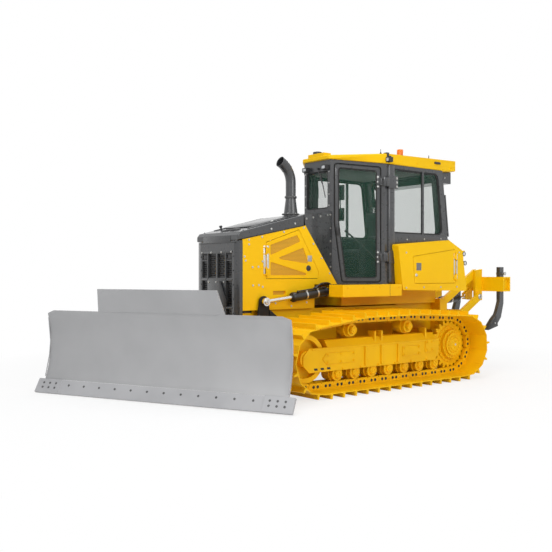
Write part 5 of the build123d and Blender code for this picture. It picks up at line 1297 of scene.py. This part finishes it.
def dress_engine_doors():
    """Hinge strips, latch, screens and blank plate on the engine doors, and the hinge posts beside them."""
    for tail, turned in (("l", False), ("r", True)):
        body = f"engine_door_{tail}"
        side = side_face(0.45)
        strip = bmesh.new()
        add_plate(strip, rectangle((1.352, 1.386), (1.42, 1.76)), 0.004, side)
        piece(f"engine_door_hinge_strip_{tail}", strip, zinc, body, soft=0.001, turn_over=turned)
        spots = [((1.366, 0.454, z), (0, 1, 0)) for z in (1.44, 1.52, 1.575, 1.63, 1.74)]
        bolts(f"engine_door_hinge_bolts_{tail}", body, spots, 0.005, zinc, turn_over=turned)
        latch = bmesh.new()
        add_turned(
            latch,
            [(0, 0.012), (0.012, 0.012), (0.016, 0.008), (0.034, 0.007), (0.038, 0.0)],
            (0.72, 0.45, 1.49),
            (0, 1, 0),
            24,
        )
        add_box(latch, (0.697, 0.743), (0.455, 0.468), (1.484, 1.496))
        piece(f"engine_door_latch_{tail}", latch, plastic, body, turn_over=turned)
        screens = bmesh.new()
        for outline in DOOR_SCREENS:
            add_plate(screens, inset(outline, 0.003), 0.0015, side_face(0.442))
        piece(f"engine_door_screens_{tail}", screens, screen_yellow, body, turn_over=turned)
        plate = bmesh.new()
        add_plate(plate, rectangle((0.665, 0.735), (1.575, 1.65)), 0.0025, side)
        piece(f"engine_door_blank_plate_{tail}", plate, edge_steel, body, soft=0.0008, turn_over=turned)
        fixed = bmesh.new()
        add_plate(fixed, rectangle((1.402, 1.434), (1.42, 1.76)), 0.004, side)
        piece(f"engine_hinge_post_{tail}", fixed, zinc, "chassis", soft=0.001, turn_over=turned)
        spots = [((1.42, 0.454, z), (0, 1, 0)) for z in (1.44, 1.52, 1.575, 1.63, 1.74)]
        bolts(f"engine_hinge_post_bolts_{tail}", "chassis", spots, 0.005, zinc, turn_over=turned)


def dress_slots():
    """Painted floor behind each air slot of the side panels."""
    floor = bmesh.new()
    add_plate(floor, rectangle((1.08, 1.30), (1.153, 1.224)), 0.003, side_face(0.427))
    piece("air_slot_floors", floor, screen_yellow, "chassis", both_sides=True)


def dress_engine():
    """Covers, filter, manifold and belt drive seen when the engine doors stand open."""
    covers = bmesh.new()
    add_box(covers, (0.66, 1.34), (-0.16, 0.16), (1.56, 1.64))
    for k in range(6):
        add_box(covers, (0.69 + k * 0.11, 0.71 + k * 0.11), (-0.17, 0.17), (1.56, 1.65))
    add_box(covers, (0.66, 1.34), (0.30, 0.318), (0.98, 1.02))
    add_box(covers, (0.66, 1.34), (-0.318, -0.30), (0.98, 1.02))
    piece("engine_covers", covers, iron, "chassis", soft=0.006)
    filters = bmesh.new()
    for x in (0.80, 0.95):
        add_turned(
            filters,
            [(0, 0.17), (0.035, 0.17), (0.046, 0.16), (0.046, 0.02), (0.03, 0.0), (0, 0)],
            (x, 0.36, 1.10),
            (0, 0, 1),
            24,
        )
    piece("engine_filters", filters, pale, "chassis")
    bent_rod(
        "engine_manifold",
        [
            (0.70, -0.34, 1.42),
            (0.90, -0.36, 1.44),
            (1.10, -0.36, 1.44),
            (1.25, -0.35, 1.46),
            (1.30, -0.30, 1.54),
        ],
        0.032,
        iron,
        "chassis",
    )
    bent_rod(
        "engine_charge_pipe",
        [(1.25, 0.33, 1.50), (1.05, 0.36, 1.52), (0.85, 0.35, 1.54), (0.74, 0.30, 1.60)],
        0.03,
        rubber,
        "chassis",
    )


dress_nose()
dress_exhaust_tip()
dress_hood()
dress_cowl()
dress_engine_doors()
dress_slots()
dress_engine()

# Cab
CAB_DOOR = Matrix(((0.71407, 0, 0.70007, -0.33), (-0.70007, 0, 0.71407, 0.765), (0, 1, 0, 0), (0, 0, 0, 1)))
CAB_BACK = Matrix(((0, 0.11972, -1, -1.8436), (1, 0, 0, 0), (0, 1, 0, 0), (0, 0, 0, 1)))
DOOR_OUTLINE = [(0.045, 1.303), (0.5692, 1.303), (0.6692, 2.1), (0.6692, 2.895), (0.045, 2.83)]
SIDE_WINDOW = [(-1.509, 1.96), (-0.43, 1.96), (-0.43, 2.82), (-1.406, 2.82)]
HINGE_HEIGHTS = (1.64, 2.63)
GLASS_SINK = Matrix.Translation((0, 0, -0.027))


def back_face(x):
    """Frame on the machine's back: u is y, v is z, and w stands out backwards."""
    return Matrix(((0, 0, -1, x), (1, 0, 0, 0), (0, 1, 0, 0), (0, 0, 0, 1)))


def dress_cab():
    """Seals, side posts, wiper and fittings of the cab's outside."""
    seal = trim_ring(SIDE_WINDOW, 0.09, 0.02, 0.016, side_face(0.765) @ GLASS_SINK)
    piece("side_window_seals", seal, rubber, "chassis", both_sides=True)
    seal = trim_ring(
        rectangle((-0.215, 0.215), (2.29, 2.80)),
        0.04,
        0.018,
        0.016,
        front_face(0.18) @ GLASS_SINK,
    )
    piece("windshield_seal", seal, rubber, "chassis")
    seal = trim_ring(rectangle((-0.6, 0.6), (1.96, 2.82)), 0.09, 0.02, 0.016, CAB_BACK @ GLASS_SINK)
    piece("rear_window_seal", seal, rubber, "chassis")

    posts = bmesh.new()
    add_box(posts, (-0.505, -0.385), (0.742, 0.79), (1.29, 2.868))
    piece("cab_side_posts", posts, charcoal, "chassis", soft=0.022, both_sides=True)
    plates = bmesh.new()
    for z in HINGE_HEIGHTS:
        add_plate(plates, rectangle((-0.545, -0.375), (z - 0.085, z + 0.085)), 0.012, side_face(0.79))
        add_box(plates, (-0.02, 0.012), (z - 0.06, z + 0.06), (-0.004, 0.03), CAB_DOOR)
        add_box(plates, (-0.38, -0.33), (0.765, 0.80), (z - 0.06, z + 0.06))
    piece("cab_hinge_plates", plates, charcoal, "chassis", soft=0.005, both_sides=True)
    spots = [((-0.522, 0.802, z + dz), (0, 1, 0)) for z in HINGE_HEIGHTS for dz in (-0.055, 0, 0.055)]
    bolts("cab_hinge_bolts", "chassis", spots, 0.010, zinc, both_sides=True)

    sill = bmesh.new()
    add_plate(sill, [(-1.66, 1.885), (-0.39, 1.80), (-0.39, 1.935), (-1.55, 1.935)], 0.012, side_face(0.765))
    piece("cab_window_sills", sill, charcoal, "chassis", soft=0.004, both_sides=True)
    spots = [((x, 0.777, 1.912 - 0.04 * (x + 1.5)), (0, 1, 0)) for x in (-1.45, -1.1, -0.75)]
    bolts("cab_sill_bolts", "chassis", spots, 0.007, zinc, both_sides=True)

    wiper = bmesh.new()
    add_bar(wiper, (0.18, 0.03, 2.835), (0.206, 0.03, 2.835), 0.014, 16)
    add_bar(wiper, (0.198, 0.03, 2.835), (0.19, 0.115, 2.62), 0.005, 10)
    add_bar(wiper, (0.184, 0.075, 2.76), (0.184, 0.17, 2.44), 0.006, 10)
    piece("windshield_wiper", wiper, plastic, "chassis")

    spots = [((0.18, 0.24, z), (1, 0, 0)) for z in (2.33, 2.48, 2.63, 2.78)]
    bolts("windshield_frame_bolts", "chassis", spots, 0.006, zinc, both_sides=True)
    spots = [((-1.8436 + 0.11972 * z, 0.70, z), (-1, 0, 0.12)) for z in (1.98, 2.2, 2.5, 2.66)]
    bolts("cab_back_bolts", "chassis", spots, 0.008, zinc, both_sides=True)


def dress_cab_doors():
    """Seal, edge trim, hinge leaf, handle and grab rail of each cab door."""
    for tail, turned in (("l", False), ("r", True)):
        body = f"cab_door_{tail}"
        seal = trim_ring(inset(DOOR_OUTLINE, 0.056), 0.04, 0.016, 0.016, CAB_DOOR @ GLASS_SINK)
        piece(f"cab_door_seal_{tail}", seal, rubber, body, turn_over=turned)
        stop = trim_ring(
            inset(DOOR_OUTLINE, -0.012),
            0.05,
            0.036,
            0.006,
            CAB_DOOR @ Matrix.Translation((0, 0, -0.060)),
        )
        piece(f"cab_door_stop_{tail}", stop, rubber, "chassis", turn_over=turned)
        edge = trim_ring(inset(DOOR_OUTLINE, 0.010), 0.035, 0.010, 0.004, CAB_DOOR)
        piece(f"cab_door_edge_{tail}", edge, rubber, body, turn_over=turned)
        leaf = bmesh.new()
        for z in HINGE_HEIGHTS:
            add_plate(leaf, rectangle((0.056, 0.102), (z - 0.085, z + 0.085)), 0.01, CAB_DOOR)
        piece(f"cab_door_hinge_leaves_{tail}", leaf, charcoal, body, soft=0.003, turn_over=turned)
        out = CAB_DOOR.to_3x3() @ Vector((0, 0, 1))
        heights = [z + step for z in HINGE_HEIGHTS for step in (-0.062, 0, 0.062)]
        spots = [(CAB_DOOR @ Vector((0.089, z, 0.01)), out) for z in heights]
        bolts(f"cab_door_hinge_bolts_{tail}", body, spots, 0.008, zinc, turn_over=turned)
        handle = bmesh.new()
        add_plate(handle, rectangle((0.600, 0.634), (1.93, 2.05)), 0.008, CAB_DOOR)
        add_box(handle, (0.606, 0.626), (1.945, 1.965), (0.004, 0.028), CAB_DOOR)
        add_box(handle, (0.606, 0.626), (2.015, 2.035), (0.004, 0.028), CAB_DOOR)
        add_box(handle, (0.605, 0.627), (1.94, 2.04), (0.026, 0.038), CAB_DOOR)
        piece(f"cab_door_handle_{tail}", handle, plastic, body, soft=0.003, turn_over=turned)
        flip = Matrix.Diagonal((1, -1, 1, 1)) if turned else Matrix()
        rail = [
            (0.09, 1.42, -0.05),
            (0.09, 1.43, -0.10),
            (0.09, 1.60, -0.105),
            (0.30, 1.80, -0.105),
            (0.50, 1.98, -0.10),
            (0.52, 1.99, -0.05),
        ]
        rail = [flip @ CAB_DOOR @ Vector(point) for point in rail]
        bent_rod(f"cab_door_grab_rail_{tail}", rail, 0.012, plastic, body)


def dress_interior():
    """Lining, mat, controls, monitor and mirror inside the cab."""
    lining = bmesh.new()
    plan = [(0.095, -0.2), (0.095, 0.2), (-0.36, 0.66), (-1.42, 0.66), (-1.42, -0.66), (-0.36, -0.66)]
    add_plate(lining, plan, 0.03, level_face(2.836))
    piece("cab_headliner", lining, lining_cloth, "chassis", soft=0.01)
    mat = bmesh.new()
    plan = [(0.09, -0.19), (0.09, 0.19), (-0.36, 0.66), (-1.45, 0.66), (-1.45, -0.66), (-0.36, -0.66)]
    add_plate(mat, plan, 0.006, level_face(1.2835))
    for k in range(7):
        add_box(mat, (-0.28 + k * 0.045, -0.26 + k * 0.045), (-0.20, 0.20), (1.289, 1.2945))
    piece("cab_floor_mat", mat, rubber, "chassis")
    wall = bmesh.new()
    for y in (0.694, -0.694):
        add_box(wall, (-1.52, -0.42), (y - 0.008, y + 0.008), (1.30, 1.94))
    add_box(wall, (-1.60, -1.585), (-0.66, 0.66), (1.30, 1.94))
    piece("cab_side_lining", wall, plastic, "chassis", soft=0.004)
    dash = bmesh.new()
    add_plate(
        dash,
        [(-0.20, 1.29), (0.20, 1.29), (0.20, 2.20), (0.14, 2.26), (-0.14, 2.26), (-0.20, 2.20)],
        0.05,
        front_face(0.06),
    )
    piece("cab_front_dash", dash, plastic, "chassis", soft=0.012)

    arms = bmesh.new()
    add_box(arms, (-0.80, -0.50), (0.285, 0.395), (1.885, 1.935))
    piece("console_arm_pads", arms, seat_cloth, "chassis", soft=0.02, both_sides=True)
    levers = bmesh.new()
    boot = [
        (0.045, 0.0),
        (0.045, 0.012),
        (0.034, 0.02),
        (0.038, 0.028),
        (0.026, 0.038),
        (0.029, 0.046),
        (0.012, 0.06),
    ]
    grip = [
        (0.0, 0.175),
        (0.014, 0.172),
        (0.022, 0.158),
        (0.020, 0.13),
        (0.017, 0.10),
        (0.019, 0.075),
        (0.012, 0.06),
    ]
    add_turned(levers, boot, (-0.42, 0.34, 1.88), (0, 0, 1), 24)
    add_turned(levers, grip, (-0.42, 0.34, 1.88), (0, 0, 1), 24)
    add_box(levers, (-0.43, -0.405), (0.32, 0.336), (2.03, 2.05))
    for k in range(3):
        add_box(levers, (-0.36, -0.34), (0.30 + k * 0.03, 0.315 + k * 0.03), (1.876, 1.892))
    piece("console_levers", levers, rubber, "chassis", both_sides=True)
    screen = bmesh.new()
    add_box(screen, (-0.045, -0.01), (0.17, 0.30), (2.41, 2.61))
    add_bar(screen, (-0.01, 0.22, 2.5), (0.06, 0.235, 2.52), 0.014, 14)
    add_box(screen, (-0.035, -0.01), (0.20, 0.31), (2.13, 2.30))
    add_bar(screen, (-0.015, 0.25, 2.30), (-0.01, 0.25, 2.41), 0.008, 12)
    piece("cab_monitor_and_mirror", screen, plastic, "chassis", soft=0.01)
    faces = bmesh.new()
    add_box(faces, (-0.0475, -0.0455), (0.182, 0.288), (2.425, 2.595))
    add_box(faces, (-0.0375, -0.0355), (0.21, 0.30), (2.14, 2.29))
    piece("cab_monitor_faces", faces, smoked, "chassis", soft=0.0006)
    pedals = bmesh.new()
    for y in (-0.12, 0.0, 0.12):
        place = Matrix.Translation((-0.03, y, 1.40)) @ Matrix.Rotation(math.radians(-55), 4, "Y")
        add_box(pedals, (-0.07, 0.07), (-0.04, 0.04), (-0.006, 0.006), place)
        add_bar(pedals, (-0.03, y, 1.40), (0.05, y, 1.33), 0.01, 12)
    piece("cab_pedals", pedals, rubber, "chassis", soft=0.003)
    bellows = bmesh.new()
    for k in range(5):
        fold = 0.006 * (k % 2)
        foot = 1.42 + k * 0.04
        add_box(bellows, (-0.875 + fold, -0.425 - fold), (-0.222 + fold, 0.222 - fold), (foot, foot + 0.038))
    piece("seat_bellows", bellows, rubber, "chassis", soft=0.012)


def apply_modifiers(obj):
    """Keep the result of a piece's modifiers as its mesh."""
    seen = obj.evaluated_get(bpy.context.evaluated_depsgraph_get())
    baked = bpy.data.meshes.new_from_object(seen)
    obj.modifiers.clear()
    obj.data = baked


def dress_seat():
    """Padded seat, back and head pads, blown up by a cloth simulation, with sewn channels, and the head pad's
    posts.
    """
    bm = bmesh.new()
    add_box(bm, (-0.885, -0.415), (-0.235, 0.235), (1.652, 1.742))
    add_box(bm, (-1.003, -0.925), (-0.225, 0.225), (1.79, 2.325))
    add_box(bm, (-1.003, -0.94), (-0.125, 0.125), (2.375, 2.50))
    soften(bm, 0.03, 4)
    obj = piece("seat_pads", bm, seat_cloth, "chassis")
    even = obj.modifiers.new("even_mesh", "REMESH")
    even.mode = "VOXEL"
    even.voxel_size = 0.009
    apply_modifiers(obj)
    start = [vert.co.copy() for vert in obj.data.vertices]
    blown = obj.modifiers.new("blown_up", "CLOTH")
    blown.settings.use_pressure = True
    blown.settings.uniform_pressure_force = 4
    blown.settings.effector_weights.gravity = 0
    for frame in range(1, 21):
        scene.frame_set(frame)
    apply_modifiers(obj)
    scene.frame_set(1)
    for vert, first in zip(obj.data.vertices, start):
        move = vert.co - first
        if move.length > 0.024:
            move *= 0.024 / move.length
        place = first + move
        if place.x < -0.91:
            groove = sum(math.exp(-(((place.y - y) / 0.009) ** 2)) for y in (-0.13, 0.13))
            groove += sum(math.exp(-(((place.z - z) / 0.009) ** 2)) for z in (1.95, 2.15))
            place.x -= 0.007 * min(groove, 1.2) * (place.x > -0.96)
            place.x = max(place.x, -1.0147)
        else:
            groove = sum(math.exp(-(((place.y - y) / 0.009) ** 2)) for y in (-0.14, 0.14))
            groove += sum(math.exp(-(((place.x - x) / 0.009) ** 2)) for x in (-0.75, -0.58))
            place.z -= 0.007 * min(groove, 1.2) * (place.z > 1.70)
            place.z = max(place.z, 1.6403)
        vert.co = place
    obj.data.shade_smooth()
    smooth = obj.modifiers.new("smooth", "SUBSURF")
    smooth.levels = smooth.render_levels = 1
    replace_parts(obj, "seat_cushions")

    posts = bmesh.new()
    for y in (-0.07, 0.07):
        add_bar(posts, (-0.975, y, 2.30), (-0.975, y, 2.42), 0.007, 14)
    piece("head_pad_posts", posts, chrome, "chassis")


def dress_roof():
    """Lamps, beacon, dome, antennas, vents and bolts on the cab's roof."""
    for name, matrix, u, v, mirror in (
        ("front_lamp", front_face(0.24), (0.154, 0.236), (2.812, 2.864), True),
        ("side_lamp", front_face(-0.32), (0.802, 0.858), (2.889, 2.946), True),
    ):
        ring = trim_ring(rectangle(u, v), 0.012, 0.007, 0.009, matrix)
        piece(f"{name}_bezels", ring, plastic, "chassis", both_sides=mirror)
        lens = bmesh.new()
        add_plate(lens, rectangle((u[0] + 0.006, u[1] - 0.006), (v[0] + 0.006, v[1] - 0.006)), 0.005, matrix)
        piece(f"{name}_lenses", lens, lamp_lens, "chassis", soft=0.002, both_sides=mirror)
    arms = bmesh.new()
    add_box(arms, (-0.375, -0.335), (0.79, 0.845), (2.95, 2.966))
    add_box(arms, (-0.375, -0.335), (0.785, 0.803), (2.95, 3.012))
    add_box(arms, (-0.38, -0.33), (0.74, 0.803), (3.003, 3.014))
    piece("side_lamp_arms", arms, plastic, "chassis", soft=0.004, both_sides=True)

    base = bmesh.new()
    add_turned(
        base,
        [(0, 0.022), (0.046, 0.022), (0.0475, 0.018), (0.0475, -0.002), (0, -0.002)],
        (-0.76, 0.64, 3.0117),
        (0, 0, 1),
        36,
    )
    piece("beacon_base", base, plastic, "chassis")
    lens = bmesh.new()
    profile = [(0.0, 0.1045), (0.026, 0.1045), (0.036, 0.101), (0.0415, 0.094)]
    for k in range(7):
        profile += [(0.0425, 0.090 - k * 0.009), (0.0440, 0.0855 - k * 0.009)]
    profile += [(0.0440, 0.022), (0.0, 0.022)]
    add_turned(lens, profile, (-0.76, 0.64, 3.0117), (0, 0, 1), 36)
    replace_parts(piece("beacon_lens", lens, amber, "chassis"), "beacon")

    dome = bmesh.new()
    add_turned(
        dome,
        [(0, 0.040), (0.03, 0.0385), (0.0585, 0.0318), (0.0608, 0.027), (0.0608, 0.0)],
        (0.14, -0.04, 3.0413),
        (0, 0, 1),
        40,
    )
    piece("roof_dome", dome, plastic, "chassis")
    masts = bmesh.new()
    add_turned(
        masts,
        [(0, 0.062), (0.003, 0.06), (0.004, 0.02), (0.010, 0.014), (0.013, 0)],
        (-0.29, 0.73, 2.9985),
        (0, 0, 1),
        16,
    )
    add_turned(
        masts,
        [(0, 0.075), (0.004, 0.072), (0.007, 0.03), (0.022, 0.012), (0.024, 0)],
        (-1.40, 0.60, 3.027),
        (0, 0, 1),
        20,
    )
    piece("roof_antennas", masts, rubber, "chassis")
    latch = bmesh.new()
    add_box(latch, (-1.45, -1.33), (0.756, 0.776), (2.955, 2.985))
    piece("roof_side_latches", latch, plastic, "chassis", soft=0.005, both_sides=True)
    seam = bmesh.new()
    for y in (0.28, -0.28):
        add_bar(seam, (0.16, y * 0.7, 2.9965), (-0.33, y * 2.1, 3.0005), 0.003, 8)
    piece("roof_seams", seam, track_yellow, "chassis")

    vents = bmesh.new()
    for k in range(7):
        z = 2.742 + k * 0.02
        add_plate(vents, rectangle((-0.56, 0.56), (z - 0.005, z + 0.005)), 0.012, back_face(-1.84))
    add_plate(vents, rectangle((-0.60, -0.56), (2.73, 2.875)), 0.014, back_face(-1.84))
    add_plate(vents, rectangle((0.56, 0.60), (2.73, 2.875)), 0.014, back_face(-1.84))
    piece("aircon_louvres", vents, plastic, "chassis", soft=0.002)
    spots = [((-1.84, y, z), (-1, 0, 0)) for y in (-0.62, 0.62) for z in (2.74, 2.86)]
    spots += [((-1.7, y, 2.80), (0, math.copysign(1, y), 0)) for y in (-0.64, 0.64)]
    bolts("aircon_bolts", "chassis", spots, 0.008, zinc)
    spots = [((x, 0.80 - 0.06 * (-0.33 - x) / 1.49, 2.93), (0.04, 1, 0)) for x in (-0.62, -0.95, -1.70)]
    bolts("roof_bolts", "chassis", spots, 0.007, track_yellow, both_sides=True)


# Rear body, decks and ripper
def dress_rear_body():
    """Hinge strips, latch, blank plate, lamps, filler cap and bolts of the rear body."""
    side = side_face(0.90)
    for tail, turned in (("l", False), ("r", True)):
        body = f"service_door_{tail}"
        strip = bmesh.new()
        add_plate(strip, rectangle((-1.606, -1.58), (1.35, 1.70)), 0.004, side)
        piece(f"service_hinge_strip_{tail}", strip, zinc, body, soft=0.001, turn_over=turned)
        plate = bmesh.new()
        add_plate(plate, rectangle((-0.895, -0.80), (1.465, 1.565)), 0.003, side)
        add_box(plate, (-0.875, -0.82), (0.902, 0.9065), (1.475, 1.50))
        piece(f"service_blank_plate_{tail}", plate, grey_plastic, body, soft=0.001, turn_over=turned)
        latch = bmesh.new()
        add_turned(
            latch,
            [(0, 0.009), (0.014, 0.009), (0.018, 0.006), (0.024, 0.0)],
            (-0.80, 0.90, 1.40),
            (0, 1, 0),
            24,
        )
        piece(f"service_latch_{tail}", latch, zinc, body, turn_over=turned)
        fixed = bmesh.new()
        add_plate(fixed, rectangle((-1.66, -1.634), (1.35, 1.70)), 0.004, side)
        piece(f"service_hinge_post_{tail}", fixed, zinc, "chassis", soft=0.001, turn_over=turned)
    spots = [((-1.645, 0.904, z), (0, 1, 0)) for z in (1.42, 1.515, 1.605, 1.69)]
    spots += [((x, 0.90, 1.235), (0, 1, 0)) for x in (-0.60, -0.95, -1.30, -1.65)]
    spots += [((-0.60, 0.90, 1.70), (0, 1, 0)), ((-1.70, 0.90, 1.72), (0, 1, 0))]
    bolts("rear_body_bolts", "chassis", spots, 0.008, zinc, both_sides=True)

    for z, x in ((1.57, -1.8669), (1.70, -1.8418)):
        name = "upper" if z > 1.6 else "lower"
        shade = bmesh.new()
        add_turned(
            shade,
            [(0.031, 0.0), (0.033, 0.004), (0.033, 0.012), (0.029, 0.014), (0.028, 0.008)],
            (x + 0.03, 0.89, z),
            (0, 1, 0),
            28,
        )
        piece(f"{name}_rear_lamp_rims", shade, plastic, "chassis", both_sides=True)
        lens = bmesh.new()
        add_turned(
            lens,
            [(0, 0.014), (0.018, 0.012), (0.028, 0.007), (0.029, 0)],
            (x + 0.03, 0.89, z),
            (0, 1, 0),
            28,
        )
        add_plate(lens, rectangle((0.818, 0.882), (z - 0.022, z + 0.022)), 0.006, back_face(x))
        piece(f"{name}_rear_lamp_lenses", lens, lamp_lens, "chassis", both_sides=True)
    bracket = bmesh.new()
    add_box(bracket, (-1.84, -1.77), (0.80, 0.898), (1.735, 1.747))
    add_box(bracket, (-1.80, -1.775), (0.86, 0.898), (1.50, 1.745))
    piece("rear_lamp_brackets", bracket, yellow, "chassis", soft=0.004, both_sides=True)

    cap = bmesh.new()
    slope = Vector((-0.4256, 0, 0.905))
    place = Vector((-1.62, 0.45, 1.8207))
    add_turned(
        cap,
        [(0, 0.045), (0.04, 0.045), (0.052, 0.038), (0.054, 0.02), (0.062, 0.012), (0.062, -0.01)],
        place,
        slope,
        32,
    )
    for k in range(8):
        turn = math.pi * k / 4
        side_way = Vector((0.905 * math.cos(turn), math.sin(turn), 0.4256 * math.cos(turn)))
        add_bar(
            cap,
            place + side_way * 0.052 + slope * 0.014,
            place + side_way * 0.052 + slope * 0.04,
            0.008,
            10,
        )
    piece("fuel_cap", cap, plastic, "chassis")
    panel = bmesh.new()
    tank_back = Matrix(((0, 0.1931, -1, -2.1043), (1, 0, 0, 0), (0, 1, 0, 0), (0, 0, 0, 1)))
    add_plate(panel, rectangle((-0.55, 0.55), (1.28, 1.64)), 0.006, tank_back)
    piece("tank_back_panel", panel, yellow, "chassis", soft=0.003)


def dress_decks():
    """Grip strips and bolts on the decks beside the cab and the hood."""
    grips = bmesh.new()
    for k in range(17):
        x = 0.50 - k * 0.042
        inner = 0.58 if x > 0.2 else 0.66
        add_box(grips, (x - 0.006, x + 0.006), (inner, 0.87), (1.283, 1.2875))
    piece("deck_grip_strips", grips, rubber, "chassis", both_sides=True)
    seam = bmesh.new()
    add_box(seam, (-0.292, -0.288), (0.896, 0.9012), (1.135, 1.28))
    piece("deck_side_seams", seam, rubber, "chassis", both_sides=True)
    spots = [((x, 0.90, 1.245), (0, 1, 0)) for x in (0.47, 0.20, -0.10, -0.45)]
    bolts("deck_bolts", "chassis", spots, 0.008, track_yellow, both_sides=True)


def dress_ripper():
    """Tooth tips, tip pins and shank pins of the ripper."""
    boot = [(-2.70, 0.632), (-2.468, 0.578), (-2.452, 0.60), (-2.596, 0.742), (-2.66, 0.795)]
    tips = bmesh.new()
    pins = bmesh.new()
    for y in (-0.80, 0.0, 0.80):
        add_plate(tips, boot, 0.084, side_face(y - 0.042))
        add_bar(pins, (-2.615, y - 0.052, 0.68), (-2.615, y + 0.052, 0.68), 0.012, 16)
        add_bar(pins, (-2.83, y - 0.062, 1.42), (-2.83, y + 0.062, 1.42), 0.018, 18)
        add_bar(pins, (-2.83, y - 0.072, 1.42), (-2.83, y - 0.064, 1.42), 0.028, 18)
        add_bar(pins, (-2.83, y + 0.064, 1.42), (-2.83, y + 0.072, 1.42), 0.028, 18)
    piece("ripper_tips", tips, black, "ripper_beam", soft=0.006)
    piece("ripper_pins", pins, zinc, "ripper_beam")


dress_cab()
dress_cab_doors()
dress_interior()
dress_seat()
dress_roof()
dress_rear_body()
dress_decks()
dress_ripper()
